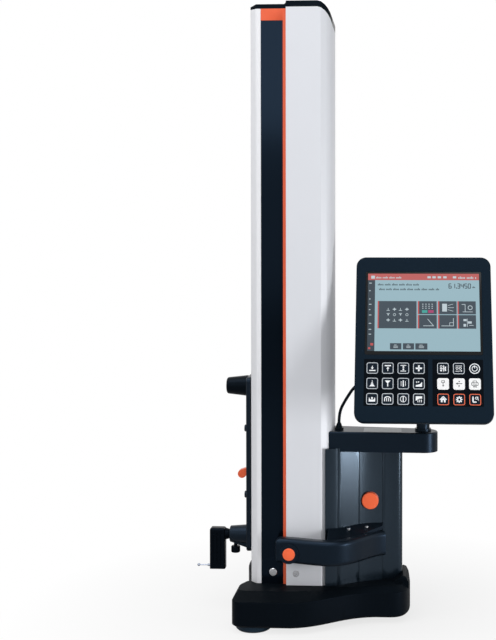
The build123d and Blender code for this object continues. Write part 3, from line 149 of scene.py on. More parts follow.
class Tree:
    """The nodes of a material or a world."""

    def __init__(self, owner: bpy.types.ID) -> None:
        """Empties the owner's nodes.

        Args:
            owner: the material or the world.
        """
        owner.use_nodes = True
        self.tree = owner.node_tree
        self.tree.nodes.clear()

    def node(self, kind: str, settings: dict | None = None, inputs: dict | None = None) -> bpy.types.Node:
        """Adds a node.

        Args:
            kind: the node's type.
            settings: properties, set first.
            inputs: values, Values or sockets by input name or number.

        Returns:
            The new node.
        """
        node = self.tree.nodes.new(kind)
        for name, value in (settings or {}).items():
            setattr(node, name, value)
        for name, value in (inputs or {}).items():
            self.feed(node.inputs[name], value)
        return node

    def feed(self, target: Socket, value: object) -> None:
        """Sets a socket to a number or colour, or links it.

        Args:
            target: an input socket.
            value: a number, a colour, a Value or an output socket.
        """
        if isinstance(value, Value):
            value = value.socket
        if isinstance(value, Socket):
            self.tree.links.new(value, target)
        else:
            target.default_value = value

    def rays(self, *kinds: str) -> Value:
        """Tells some kinds of rays from the others.

        Args:
            kinds: outputs of the Light Path node.

        Returns:
            1 for rays of these kinds, else 0.
        """
        path = self.node("ShaderNodeLightPath")
        found = Value(self, path.outputs[kinds[0]])
        for kind in kinds[1:]:
            found = found.maths("MAXIMUM", found, Value(self, path.outputs[kind]))
        return found


class Sheet(Tree):
    """One material, with a Principled shader at the end."""

    def __init__(self, name: str) -> None:
        """Starts an empty material.

        Args:
            name: the material's name.
        """
        self.material = bpy.data.materials.new(name)
        super().__init__(self.material)
        self.shader = self.node("ShaderNodeBsdfPrincipled")
        self.node("ShaderNodeOutputMaterial", inputs={"Surface": self.shader.outputs[0]})

    def set(self, **values: object) -> None:
        """Feeds the shader's sockets; an underscore in a name stands for a space."""
        for name, value in values.items():
            self.feed(self.shader.inputs[name.replace("_", " ")], value)

    def coordinates(self) -> Socket:
        """The Object coordinates."""
        return self.node("ShaderNodeTexCoord").outputs["Object"]

    def axes(self, vector: Socket) -> tuple[Value, Value, Value]:
        """The three numbers of a vector socket."""
        split = self.node("ShaderNodeSeparateXYZ", inputs={0: vector})
        return tuple(Value(self, out) for out in split.outputs)

    def mapped(self, scale: Triple, location: Vector | None = None,
               rotation: object = (0, 0, 0)) -> Socket:
        """Puts the Object coordinates through a Mapping node.

        Args:
            scale: the scale on each axis.
            location: the shift, or None for no shift.
            rotation: the turn, in radians.

        Returns:
            The mapped coordinates.
        """
        node = self.node("ShaderNodeMapping", inputs={"Vector": self.coordinates(), "Scale": scale,
                                                      "Location": location or (0, 0, 0),
                                                      "Rotation": rotation})
        return node.outputs[0]

    def noise(self, vector: Socket, scale: float, detail: float = 2.0) -> Value:
        """A noise pattern.

        Args:
            vector: its coordinates.
            scale: features per metre.
            detail: octaves.

        Returns:
            Its value, about 0.5 on average.
        """
        node = self.node("ShaderNodeTexNoise", inputs={"Vector": vector, "Scale": scale,
                                                       "Detail": detail, "Roughness": 0.55})
        return Value(self, node.outputs[0])

    def uneven(self, pattern: Value, middle: float, spread: float) -> None:
        """Spreads the roughness about its middle value along a noise pattern."""
        self.set(Roughness=pattern * spread + (middle - spread / 2))

    def mix(self, share: object, first: object, second: object) -> Socket:
        """Two colours mixed, where share is the second one's share."""
        node = self.node("ShaderNodeMix", {"data_type": "RGBA"}, {0: share, 6: first, 7: second})
        return node.outputs[2]

    def bump(self, height: Value, depth: float, strength: float = 0.5) -> None:
        """Feeds the shader's normal from a height.

        Args:
            height: the pattern.
            depth: its height in metres, at its full value.
            strength: how much of it shows.
        """
        node = self.node("ShaderNodeBump", inputs={"Height": height, "Distance": depth,
                                                   "Strength": strength})
        self.set(Normal=node.outputs[0])


# ---------------- finishes
@dataclass(frozen=True)
class Moulding:
    """Moulded plastic with a fine spark-eroded grain."""

    name: str
    colour: str
    light: str
    roughness: float = 0.42
    grain: float = 1400.0
    depth: float = 0.00004
    gloss: float = 0.14
    tint: str = "8FB2DC"
    clouds: float = 9.0
    shares: Pair = (0.6, 0.25)
    spread: float = 0.1

    def make(self) -> Sheet:
        """Builds the material.

        Returns:
            Its sheet.
        """
        sheet = Sheet(self.name)
        place = sheet.coordinates()
        cloud = sheet.noise(place, self.clouds)
        fine = sheet.noise(place, self.grain)
        share = (cloud * self.shares[0] + fine * self.shares[1]).clamped()
        sheet.set(Base_Color=sheet.mix(share, tone(self.colour), tone(self.light)),
                  Specular_IOR_Level=self.gloss, Specular_Tint=tone(self.tint))
        sheet.uneven(cloud, self.roughness, self.spread)
        sheet.bump(fine, self.depth)
        return sheet


@dataclass(frozen=True)
class Lacquer:
    """Smooth sprayed paint with the faint orange peel of a wet coat."""

    name: str
    colour: str
    shade: str
    roughness: float = 0.3
    metallic: float = 0.0
    coat: float = 0.0
    gloss: float = 0.5
    tint: str = "FFFFFF"
    clouds: float = 4.0
    flecks: float = 2600.0
    peel: float = 260.0
    shares: Pair = (0.7, 0.25)
    spread: float = 0.08
    coat_roughness: float = 0.08
    depth: float = 0.00002
    bump: float = 0.4

    def make(self) -> Sheet:
        """Builds the material.

        Returns:
            Its sheet.
        """
        sheet = Sheet(self.name)
        place = sheet.coordinates()
        cloud = sheet.noise(place, self.clouds)
        fleck = sheet.noise(place, self.flecks, detail=1.0)
        share = (cloud * self.shares[0] + fleck * self.shares[1]).clamped()
        sheet.set(Base_Color=sheet.mix(share, tone(self.colour), tone(self.shade)),
                  Metallic=self.metallic, Coat_Weight=self.coat, Coat_Roughness=self.coat_roughness,
                  Specular_IOR_Level=self.gloss, Specular_Tint=tone(self.tint))
        sheet.uneven(cloud, self.roughness, self.spread)
        sheet.bump(sheet.noise(place, self.peel), self.depth, self.bump)
        return sheet


@dataclass(frozen=True)
class Machined:
    """Turned or ground metal, with fine lines along one axis."""

    name: str
    colour: str
    roughness: float = 0.28
    metallic: float = 1.0
    stretch: Triple = (1.0, 1.0, 0.04)
    dark: str = "1A1C1F"
    stain: float = 0.35
    lines: float = 2200.0
    clouds: float = 30.0
    spread: float = 0.2
    depth: float = 0.00001

    def make(self) -> Sheet:
        """Builds the material.

        Returns:
            Its sheet.
        """
        sheet = Sheet(self.name)
        lines = sheet.noise(sheet.mapped(self.stretch), self.lines, detail=3.0)
        cloud = sheet.noise(sheet.coordinates(), self.clouds)
        sheet.set(Base_Color=sheet.mix(cloud * self.stain, tone(self.colour), tone(self.dark)),
                  Metallic=self.metallic)
        sheet.uneven(lines, self.roughness, self.spread)
        sheet.bump(lines, self.depth)
        return sheet


@dataclass(frozen=True)
class Glow:
    """A lit patch of the screen under its cover glass."""

    name: str
    colour: str
    strength: float = 0.9
    gap: str = "5F6F78"
    glass: str = "101418"
    pixels: float = 3000.0
    share: float = 0.12
    roughness: float = 0.25
    gloss: float = 0.2

    def make(self) -> Sheet:
        """Builds the material.

        Returns:
            Its sheet.
        """
        sheet = Sheet(self.name)
        pixels = sheet.noise(sheet.coordinates(), self.pixels, detail=0.0)
        colour = sheet.mix(pixels * self.share, tone(self.colour), tone(self.gap))
        sheet.set(Base_Color=tone(self.glass), Roughness=self.roughness, Emission_Color=colour,
                  Emission_Strength=self.strength, Specular_IOR_Level=self.gloss)
        return sheet


class Finish(Enum):
    """Every finish on the instrument."""

    CASTING = Moulding("casting_paint", "05080B", "0A0E13", 0.42, 900.0, 0.00006, 0.08)
    COVER = Moulding("cover_plastic", "05080B", "0A0F14", 0.5, 1500.0, 0.00004, 0.04)
    MOULDED = Moulding("moulded_navy", "080D12", "0E161E", 0.34, 1500.0, 0.00003, 0.3)
    UNIT = Lacquer("unit_paint", "081017", "0E171F", 0.22, gloss=0.6, tint="BCD6F0")
    DISPLAY = Moulding("display_shell", "0A1219", "101A22", 0.4, 1800.0, 0.00003, 0.05)
    BACK = Moulding("display_back_shell", "0F151B", "151E27", 0.45, 1200.0, 0.00005)
    PAD = Lacquer("pad_blue", "15222C", "1C2C38", 0.2, coat=0.1, gloss=0.3, tint="8FB2DC")
    SILVER = Lacquer("silver_paint", "D6D8DE", "D1D4DA", 0.46, metallic=0.1, gloss=0.3)
    STRIP = Lacquer("strip_paint", "E4E4E8", "DCDEE2", 0.42, metallic=0.1, gloss=0.4)
    INLAY = Lacquer("black_inlay", "04080D", "060B11", 0.12, gloss=0.22, tint="86ACDA")
    CAP = Lacquer("black_cap", "070B0E", "0B1014", 0.3, gloss=0.08, tint="8FB2DC")
    ORANGE = Lacquer("orange_trim", "E8643F", "E25E3B", 0.4, gloss=0.3)
    BUTTON = Moulding("orange_button", "EE6238", "F06C42", 0.36, 1500.0, 0.00003, 0.3, "FFFFFF")
    SLIDE = Moulding("slide_black", "0D1216", "141A20", 0.32, 2200.0, 0.00002, 0.3)
    HOLDER = Moulding("holder_black", "05070A", "090C10", 0.3, 2200.0, 0.00002, 0.1)
    KNOB = Moulding("knob_black", "06090B", "0B0F13", 0.28, 1800.0, 0.00002, 0.1)
    STEEL = Machined("bright_steel", "C9CBCF", 0.24)
    SHAFT = Machined("shaft_steel", "AEB6C6", 0.2, 1.0, (0.04, 1.0, 1.0))
    ALUMINIUM = Machined("machined_aluminium", "C4C6CA", 0.34)
    ANODISED = Machined("beam_anodised", "24282D", 0.4, 0.7)
    WEIGHT = Machined("weight_steel", "7E8287", 0.38)
    SCALE = Lacquer("scale_glass", "9FB0B5", "8FA1A8", 0.06, metallic=0.3, coat=1.0)
    BATTERY = Moulding("battery_grey", "4A4D50", "55585B", 0.5)
    CABLE = Moulding("cable_rubber", "07090B", "0C0F12", 0.5, 800.0, 0.00002)
    GLASS = Lacquer("screen_glass", "07090C", "0A0D10", 0.08, gloss=0.2)
    KEY = Moulding("key_dark", "0D1217", "131A21", 0.4, 2000.0, 0.00002)
    KEY_WHITE = Moulding("key_white", "DEDFE0", "E8E8E8", 0.4, 2000.0, 0.00002)
    PRINT_GREY = Lacquer("print_grey", "B4BAC0", "A9B0B7", 0.4)
    PRINT_WHITE = Lacquer("print_white", "E6E9EC", "DADEE2", 0.4)
    PRINT_DARK = Lacquer("print_dark", "23292F", "1C2228", 0.4)
    PRINT_ORANGE = Lacquer("print_orange", "D8603C", "CF5936", 0.4)
    LABEL = Lacquer("label_grey", "6A6F72", "73787B", 0.34, metallic=0.3)
    LCD_FIELD = Glow("lcd_field", "A2C3CE", 0.86)
    LCD_HEADER = Glow("lcd_header", "C65A55")
    LCD_TOOLBAR = Glow("lcd_toolbar", "2E3A44")
    LCD_TILE = Glow("lcd_tile", "39454F")
    LCD_RED = Glow("lcd_red", "C8504E")
    LCD_PALE = Glow("lcd_pale", "C9D8DE")
    LCD_INK = Glow("lcd_ink", "2F3C44")
    LCD_CYAN = Glow("lcd_cyan", "3FA9A0")
    LCD_MAGENTA = Glow("lcd_magenta", "B03A6E")

    @property
    def slot(self) -> str:
        """The record's material slot that a printed or lit finish belongs to."""
        return SLOTS.get(self.name, "screen_glass")


SLOTS: dict[str, str] = {
    "PRINT_GREY": "key_white", "PRINT_WHITE": "key_white", "PRINT_DARK": "key_dark",
    "PRINT_ORANGE": "orange", "LABEL": "machined_aluminium",
}


class Palette:
    """The finishes' materials, each built once."""

    def __init__(self) -> None:
        """Starts with none built."""
        self.made: dict[Finish, bpy.types.Material] = {}

    def get(self, finish: Finish) -> bpy.types.Material:
        """Finds a finish's material, or builds it the first time.

        Args:
            finish: the finish.

        Returns:
            Its material.
        """
        if finish not in self.made:
            self.made[finish] = finish.value.make().material
        return self.made[finish]


# ---------------- meshes
def new_piece(name: str, mesh: bpy.types.Mesh, material: bpy.types.Material) -> bpy.types.Object:
    """Links a mesh as an object at the origin.

    Args:
        name: the piece's name.
        mesh: its mesh, in place.
        material: its only material.

    Returns:
        The object.
    """
    mesh.materials.clear()
    mesh.materials.append(material)
    piece = bpy.data.objects.new(name, mesh)
    bpy.context.scene.collection.objects.link(piece)
    return piece


class Stencil:
    """Flat shapes drawn in millimetres on a plane, raised into thin plates."""

    DISC_SIDES = 20
    RING_SIDES = 24
    CORNER_STEPS = 5

    def __init__(self, name: str, place: Matrix, height: float) -> None:
        """Starts an empty stencil.

        Args:
            name: the piece's name.
            place: turns the drawing's metres into the frame's.
            height: the plates' thickness in millimetres.
        """
        self.name = name
        self.place = place
        self.height = height
        self.bm = bmesh.new()

    def bar(self, start: Pair, end: Pair, width: float) -> "Stencil":
        """Draws a straight stroke between two points.

        Args:
            start: one end of its middle line.
            end: the other end.
            width: its width.

        Returns:
            The stencil itself.
        """
        a, b = Vector(start), Vector(end)
        run = b - a
        turn = Matrix.Rotation(math.atan2(run.y, run.x), 4, "Z")
        middle = (a + b) / 2
        matrix = Matrix.Translation((middle.x, middle.y, 0)) @ turn @ Matrix.Diagonal(
            (run.length, width, 1, 1))
        bmesh.ops.create_grid(self.bm, x_segments=1, y_segments=1, size=0.5, matrix=matrix)
        return self

    def block(self, x0: float, x1: float, y0: float, y1: float) -> "Stencil":
        """An upright rectangle between two corners."""
        return self.bar((x0, (y0 + y1) / 2), (x1, (y0 + y1) / 2), abs(y1 - y0))

    def strokes(self, width: float, *points: Pair) -> "Stencil":
        """Draws strokes that join the points in order.

        Args:
            width: the strokes' width.
            points: the points.

        Returns:
            The stencil itself.
        """
        for start, end in zip(points, points[1:]):
            self.bar(start, end, width)
        return self

    def shape(self, *points: Pair) -> "Stencil":
        """A filled polygon of a few corners."""
        self.bm.faces.new([self.bm.verts.new((x, y, 0)) for x, y in points])
        return self

    def circle(self, x: float, y: float, radius: float, sides: int, filled: bool) -> list:
        """A circle's corners."""
        return bmesh.ops.create_circle(self.bm, cap_ends=filled, segments=sides, radius=radius,
                                       matrix=Matrix.Translation((x, y, 0)))["verts"]

    def disc(self, x: float, y: float, radius: float) -> "Stencil":
        """A filled circle."""
        self.circle(x, y, radius, self.DISC_SIDES, True)
        return self

    def ring(self, x: float, y: float, radius: float, width: float) -> "Stencil":
        """Draws a circle's outline.

        Args:
            x: the centre's x.
            y: the centre's y.
            radius: the outer radius.
            width: the outline's width.

        Returns:
            The stencil itself.
        """
        edges = []
        for size in (radius, radius - width):
            corners = self.circle(x, y, size, self.RING_SIDES, False)
            edges += list({e for v in corners for e in v.link_edges})
        bmesh.ops.bridge_loops(self.bm, edges=edges)
        return self

    def outline(self, size: float, corner: float, rim: float) -> "Stencil":
        """The outline of a rounded square about the middle.

        Args:
            size: its sides' length.
            corner: the corners' radius.
            rim: the outline's width.

        Returns:
            The stencil itself.
        """
        before = set(self.bm.faces)
        made = bmesh.ops.create_grid(self.bm, x_segments=1, y_segments=1, size=size / 2)
        bmesh.ops.bevel(self.bm, geom=made["verts"], offset=corner, offset_type="OFFSET",
                        affect="VERTICES", segments=self.CORNER_STEPS, profile=0.5, material=-1)
        face = next(f for f in self.bm.faces if f not in before)
        bmesh.ops.inset_individual(self.bm, faces=[face], thickness=rim, use_even_offset=True)
        bmesh.ops.delete(self.bm, geom=[face], context="FACES_ONLY")
        return self

    def finish(self, material: bpy.types.Material) -> bpy.types.Object:
        """Raises the drawing and places it.

        Args:
            material: the plates' material.

        Returns:
            The piece.
        """
        bm = self.bm
        bmesh.ops.recalc_face_normals(bm, faces=bm.faces)
        for face in bm.faces:
            if face.normal.z < 0:
                face.normal_flip()
        raised = bmesh.ops.extrude_face_region(bm, geom=list(bm.faces), use_keep_orig=True)
        lifted = [g for g in raised["geom"] if isinstance(g, bmesh.types.BMVert)]
        bmesh.ops.translate(bm, verts=lifted, vec=(0, 0, self.height))
        bmesh.ops.scale(bm, verts=bm.verts, vec=(MM, MM, MM))
        bmesh.ops.transform(bm, matrix=self.place, verts=bm.verts)
        bmesh.ops.recalc_face_normals(bm, faces=bm.faces)
        mesh = bpy.data.meshes.new(self.name)
        bm.to_mesh(mesh)
        bm.free()
        return new_piece(self.name, mesh, material)


@dataclass(frozen=True)
class Skin:
    """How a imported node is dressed: a merged copy with softened edges."""

    node: str
    finish: Finish
    edge: float = 0.6
    smooth: float = 32.0
    merge: float = 0.01
    flat: float = 0.4
    steps: int = 2

    def dress(self, frame: dict, material: bpy.types.Material) -> bpy.types.Object:
        """Makes the copy and lets it stand for the node.

        Args:
            material: the copy's material.

        Returns:
            The dressed piece.
        """
        source = frame["nodes"][self.node]
        bm = bmesh.new()
        bm.from_mesh(source.data)
        bmesh.ops.remove_doubles(bm, verts=bm.verts, dist=self.merge * MM)
        bmesh.ops.dissolve_limit(bm, angle_limit=math.radians(self.flat),
                                 use_dissolve_boundaries=False, verts=bm.verts, edges=bm.edges)
        mesh = bpy.data.meshes.new(self.node + "_dressed")
        bm.to_mesh(mesh)
        bm.free()
        mesh.shade_smooth()
        mesh.set_sharp_from_angle(angle=math.radians(self.smooth))
        piece = new_piece(self.node + "_dressed", mesh, material)
        if self.edge > 0:
            bevel = piece.modifiers.new("edges", "BEVEL")
            bevel.width = self.edge * MM
            bevel.segments = self.steps
            bevel.limit_method = "ANGLE"
            bevel.angle_limit = math.radians(self.smooth)
            bevel.harden_normals = True
        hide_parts(self.node)
        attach(piece, body_name(frame, self.node))
        slot_name(frame, self.node)
        log.info("dressed %s", self.node)
        return piece


def body_name(frame: dict, node: str) -> str:
    """The body that carries a node."""
    return frame["nodes"][node]["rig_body"]


def slot_name(frame: dict, node: str) -> str:
    """The material slot that the record gives a node."""
    return next(s["material_slot"] for s in frame["record"]["subparts"] if s["node"] == node)


# ---------------- sub-assemblies
@dataclass
class Body:
    """The base, column, slide, rear unit, arm and grip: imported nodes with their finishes."""

    skins: tuple[Skin, ...] = (
        Skin("base_casting", Finish.CASTING, 1.6), Skin("base_cover", Finish.COVER, 1.6),
        Skin("air_pads", Finish.PAD, 0.6), Skin("front_strips", Finish.STRIP, 0.5),
        Skin("side_inlays", Finish.INLAY, 0.3), Skin("accent_trims", Finish.ORANGE, 0.4),
        Skin("column_shell", Finish.SILVER, 1.0), Skin("top_cap", Finish.CAP, 1.4),
        Skin("case_screws", Finish.STEEL, 0.2), Skin("slider_plate", Finish.SLIDE, 0.4),
        Skin("grip_knob", Finish.KNOB, 0.8), Skin("plate_screws", Finish.SLIDE, 0.2),
        Skin("clamp_lever", Finish.BUTTON, 1.2), Skin("probe_boss", Finish.SLIDE, 0.6),
        Skin("clamp_knob", Finish.KNOB, 0.3), Skin("probe_holder", Finish.HOLDER, 0.4),
        Skin("stylus", Finish.SHAFT, 0.0), Skin("rear_housing", Finish.UNIT, 0.5),
        Skin("unit_button", Finish.BUTTON, 0.6), Skin("display_arm", Finish.MOULDED, 0.8),
        Skin("cable_gland", Finish.KNOB, 0.3), Skin("swivel_post", Finish.SLIDE, 0.8),
        Skin("grip_handle", Finish.MOULDED, 1.2), Skin("grip_button", Finish.BUTTON, 0.6),
        Skin("display_back", Finish.BACK, 1.5), Skin("carriage", Finish.ALUMINIUM, 0.5),
        Skin("lcd_panel", Finish.GLASS, 0.3),
    )
    bare: tuple[tuple[str, Finish], ...] = (
        ("column_beam", Finish.ANODISED), ("drive_motor", Finish.KNOB), ("drive_belt", Finish.STEEL),
        ("linear_scale", Finish.SCALE), ("top_pulley", Finish.ALUMINIUM),
        ("drive_pulley", Finish.ALUMINIUM), ("counterweight", Finish.WEIGHT),
        ("reader_head", Finish.KNOB), ("battery_pack", Finish.BATTERY),
        ("air_compressor", Finish.ALUMINIUM),
    )

    def build(self, frame: dict, palette: Palette) -> None:
        """Dresses the visible nodes and paints the ones inside.

        Args:
            palette: the materials.
        """
        for skin in self.skins:
            skin.dress(frame, palette.get(skin.finish))
        for node, finish in self.bare:
            piece = frame["nodes"][node]
            if not piece.material_slots:
                piece.data.materials.append(palette.get(finish))
            for slot in piece.material_slots:
                slot.material = palette.get(finish)
            log.info("painted %s", node)


@dataclass
class Panel:
    """The plane of the display's face, found from its packed shell and a key's travel."""

    frame: dict
    origin: Vector = field(default_factory=Vector)
    lean: float = 0.0

    def __post_init__(self) -> None:
        """Reads the lean from a key's axis and the middle from the front shell."""
        press = next(j for j in self.frame["joints"] if j["name"] == "key_bore_press")
        inward = Vector(press["axis"])
        self.lean = math.atan2(-inward.z, inward.y)
        low, high = self.span("display_frame")
        middle = Vector(((low.x + high.x) / 2, (low.y + high.y) / 2, high.z)) * MM
        self.origin = self.turn() @ middle

    def turn(self) -> Matrix:
        """The turn from a drawing's axes to the panel's: x right, y up the face, z out."""
        return Matrix.Rotation(math.pi / 2 - self.lean, 4, "X")

    def place(self, x: float = 0.0, y: float = 0.0, lift: float = 0.0) -> Matrix:
        """The matrix to a point of the face, in millimetres, lifted off it."""
        return Matrix.Translation(self.origin) @ self.turn() @ Matrix.Translation(
            (x * MM, y * MM, lift * MM))

    def span(self, node: str) -> tuple[Vector, Vector]:
        """Measures a node along the panel's own axes.

        Args:
            node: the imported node.

        Returns:
            Its lowest and its highest corner, in millimetres.
        """
        back = self.place().inverted()
        points = [back @ v.co / MM for v in self.frame["nodes"][node].data.vertices]
        return tuple(Vector([pick(p[i] for p in points) for i in range(3)]) for pick in (min, max))


@dataclass(frozen=True)
class Stroke:
    """A mark made of straight strokes."""

    width: float
    points: tuple[Pair, ...]

    def draw(self, art: Stencil, x: float = 0.0, y: float = 0.0) -> None:
        """Adds the strokes to a stencil, moved by x and y."""
        art.strokes(self.width, *((a + x, b + y) for a, b in self.points))


@dataclass(frozen=True)
class Patch:
    """A mark that is a filled polygon."""

    points: tuple[Pair, ...]

    def draw(self, art: Stencil, x: float = 0.0, y: float = 0.0) -> None:
        """Adds the polygon to a stencil, moved by x and y."""
        art.shape(*((a + x, b + y) for a, b in self.points))


@dataclass(frozen=True)
class Dot:
    """A mark that is a disc, or a ring where it has a rim."""

    x: float
    y: float
    radius: float
    rim: float = 0.0

    def draw(self, art: Stencil, x: float = 0.0, y: float = 0.0) -> None:
        """Adds the disc or ring to a stencil, moved by x and y.

        Args:
            art: the stencil.
            x: added to the centre's x.
            y: added to its y.
        """
        if self.rim:
            art.ring(self.x + x, self.y + y, self.radius, self.rim)
        else:
            art.disc(self.x + x, self.y + y, self.radius)


LEGENDS: dict[str, tuple] = {
    "touch_down": (
        Stroke(1.7, ((-5, -4), (5, -4))), Stroke(1.1, ((0, 3.6), (0, 0.8))),
        Patch(((-2.1, 1.0), (2.1, 1.0), (0, -2.4)))),
    "touch_up": (
        Stroke(1.7, ((-5, 4), (5, 4))), Stroke(1.1, ((0, -4.4), (0, -0.8))),
        Patch(((-2.1, -1.0), (2.1, -1.0), (0, 2.4)))),
    "slot_width": (
        Stroke(1.1, ((-4.4, 4.6), (4.4, 4.6))), Stroke(1.1, ((-4.4, -4.6), (4.4, -4.6))),
        Stroke(1.1, ((0, 1.6), (0, -1.6))), Patch(((-2, 1.4), (2, 1.4), (0, 3.7))),
        Patch(((-2, -1.4), (2, -1.4), (0, -3.7)))),
    "midpoint": (Stroke(2.4, ((-5, 0), (5, 0))), Stroke(2.4, ((0, -4.8), (0, 4.8)))),
    "bore": (
        Patch(((-4.4, -4.8), (4.4, -4.8), (1.5, -1.2), (-1.5, -1.2))),
        Patch(((-1.9, -0.6), (1.9, -0.6), (0, 3.0))), Stroke(0.9, ((0, 2.6), (0, 5.0)))),
    "shaft": (Patch(((-4.4, 4.8), (4.4, 4.8), (1.5, 1.2), (-1.5, 1.2))), Stroke(1.6, ((0, 1.2), (0, -4.8)))),
    "land_width": (
        Stroke(1.8, ((0, -5), (0, 5))), Stroke(0.7, ((-3.4, -4), (-3.4, 4))),
        Stroke(0.7, ((3.4, -4), (3.4, 4)))),
    "flatness": (
        Patch(((-5, -4.8), (5, -4.8), (5, 3.0), (1.8, -0.8), (-5, -2.4))), Dot(-3.4, 2.6, 1.0),
        Dot(-0.4, 2.8, 1.0)),
    "peak": (
        Patch(((-5, -4.4), (5, -4.4), (5, -1), (-5, -1))), Patch(((-5, -1), (-2.8, -1), (-4.6, 2.8))),
        Patch(((5, -1), (2.8, -1), (4.6, 2.8))), Dot(0, 1.3, 1.5)),
    "valley": (
        Stroke(1.4, ((-4.6, -3.8), (-4.6, 1.8), (-1.6, 3.6), (1.6, 3.6), (4.6, 1.8), (4.6, -3.8))),
        Stroke(1.2, ((-1.5, -3.8), (-1.5, 1.6))), Stroke(1.2, ((1.5, -3.8), (1.5, 1.6)))),
    "squareness": (Dot(0, 0, 5.0, 0.9), Stroke(1.5, ((0, -4.4), (0, 4.4)))),
    "straightness": (
        Patch(((-5, 4.6), (5, 4.6), (5, 1), (1, 1), (-5, -2.6))), Stroke(1.1, ((-1.6, -4.8), (-1.6, -1.8))),
        Stroke(1.1, ((1.1, -4.8), (1.1, -1))), Stroke(1.1, ((3.8, -4.8), (3.8, -0.6)))),
    "program": (
        Dot(-2.7, 2.9, 2.0, 0.8), Stroke(1.3, ((1.0, -4.8), (1.0, 4.8))),
        Stroke(1.2, ((-4.8, -0.4), (4.8, -0.4))), Patch(((-4.4, -4.6), (-1.4, -4.6), (-1.4, -2), (-4.4, -2))),
        Patch(((2.6, -4), (4.8, -4), (4.8, 3), (2.6, 3)))),
    "display_mode": (
        Stroke(0.8, ((-5, 4.2), (5, 4.2))), Dot(-2.6, 0.4, 2.1, 0.8), Dot(2.3, 0.4, 2.1, 0.8),
        Stroke(0.8, ((-5, -4.2), (1.4, -4.2))), Dot(3.8, -3.8, 1.1)),
    "power": (Dot(0, 0, 8.4, 1.3), Dot(0, 0, 4.6, 1.0), Stroke(1.2, ((0, 0.6), (0, 5.4)))),
    "zero": (
        Stroke(0.8, ((-2.4, 5), (2.4, 5), (2.4, 2.2), (-2.4, 2.2), (-2.4, 5))),
        Stroke(0.9, ((0, 1.4), (0, -2.2))), Patch(((-1.8, -1.8), (1.8, -1.8), (0, -4.8)))),
    "preset": (
        Stroke(1.1, ((-2.4, 0.6), (5, 0.6))), Patch(((-5, 0.6), (-2.2, 2.4), (-2.2, -1.2))),
        Dot(0.4, 4.0, 1.0), Patch(((-1.6, -2.4), (1.6, -2.4), (0, -4.8)))),
    "print": (
        Stroke(0.9, ((-5, 2.2), (5, 2.2), (5, -2), (-5, -2), (-5, 2.2))),
        Stroke(0.8, ((-3, 2.2), (-3, 5), (3, 5), (3, 2.2))), Stroke(0.7, ((-3, -3.4), (3, -3.4))),
        Stroke(0.7, ((-3, -4.8), (3, -4.8))), Stroke(0.7, ((-3, 0), (3, 0)))),
    "home": (
        Stroke(1.4, ((-5.2, -0.6), (0, 4.6), (5.2, -0.6))),
        Patch(((-3.6, -4.6), (-1.2, -4.6), (-1.2, -1.2), (1.2, -1.2), (1.2, -4.6), (3.6, -4.6),
               (3.6, -0.4), (0, 2.6), (-3.6, -0.4)))),
    "settings": (
        Dot(0, 0, 3.6, 1.7), Stroke(2.0, ((-5, 0), (-2.8, 0))), Stroke(2.0, ((2.8, 0), (5, 0))),
        Stroke(2.0, ((0, 2.8), (0, 5))), Stroke(2.0, ((0, -5), (0, -2.8))),
        Stroke(1.8, ((-3.7, -3.7), (-2, -2))), Stroke(1.8, ((2, 2), (3.7, 3.7))),
        Stroke(1.8, ((-3.7, 3.7), (-2, 2))), Stroke(1.8, ((2, -2), (3.7, -3.7)))),
    "probe": (
        Stroke(2.0, ((-3.4, 4.8), (-3.4, -3.8), (1.8, -3.8))), Dot(2.0, 2.4, 2.2, 0.9),
        Stroke(0.9, ((4.0, 4.6), (4.9, -1.6)))),
}

SEGMENTS: dict[str, tuple[int, ...]] = {
    "a": (0, 2, 1, 2), "b": (1, 1, 1, 2), "c": (1, 0, 1, 1), "d": (0, 0, 1, 0),
    "e": (0, 0, 0, 1), "f": (0, 1, 0, 2), "g": (0, 1, 1, 1),
}

FIGURES: dict[str, str] = {
    "0": "abcdef", "1": "bc", "3": "abcdg", "4": "bcfg", "5": "acdfg", "6": "acdefg",
}

SIGNS: tuple[tuple, ...] = (
    (Stroke(0.8, ((-2.6, -2), (2.6, -2))), Stroke(0.8, ((0, -2), (0, 2)))),
    (Stroke(0.8, ((-2.6, 2), (2.6, 2))), Patch(((-1.5, 1), (1.5, 1), (0, -2)))),
    (Stroke(1.4, ((-2.8, 0), (2.8, 0))), Stroke(1.4, ((0, -2.4), (0, 2.4)))),
    (Dot(0, 0, 2.3, 0.7),),
)

TILE_MARKS: tuple = (
    Patch(((119.4, -64), (127, -64), (127, -51), (119.4, -51))),
    Stroke(0.7, ((128.5, -54), (137, -51.5))), Stroke(0.7, ((128.5, -57.5), (138, -57.5))),
    Stroke(0.7, ((128.5, -61), (137, -63.5))), Stroke(0.9, ((150.5, -52), (156, -52), (156, -64))),
    Dot(164, -57.5, 3.8, 1.0), Stroke(0.8, ((152, -64.5), (168, -64.5))),
    Stroke(0.9, ((89, -88), (106, -88))), Stroke(0.9, ((105, -87.6), (96, -76.6))),
    Stroke(0.9, ((118, -88), (137, -88), (137, -75))),
    Stroke(0.7, ((131, -88), (131, -82.6), (137, -82.6))), Stroke(3.4, ((153, -78.3), (158, -78.3))),
    Stroke(3.6, ((160, -82.2), (166, -82.2))), Stroke(4.4, ((153, -86.8), (157, -86.8))),
    Stroke(0.8, ((159, -89.4), (159, -76))), Stroke(0.8, ((162, -87), (169, -87))),
)


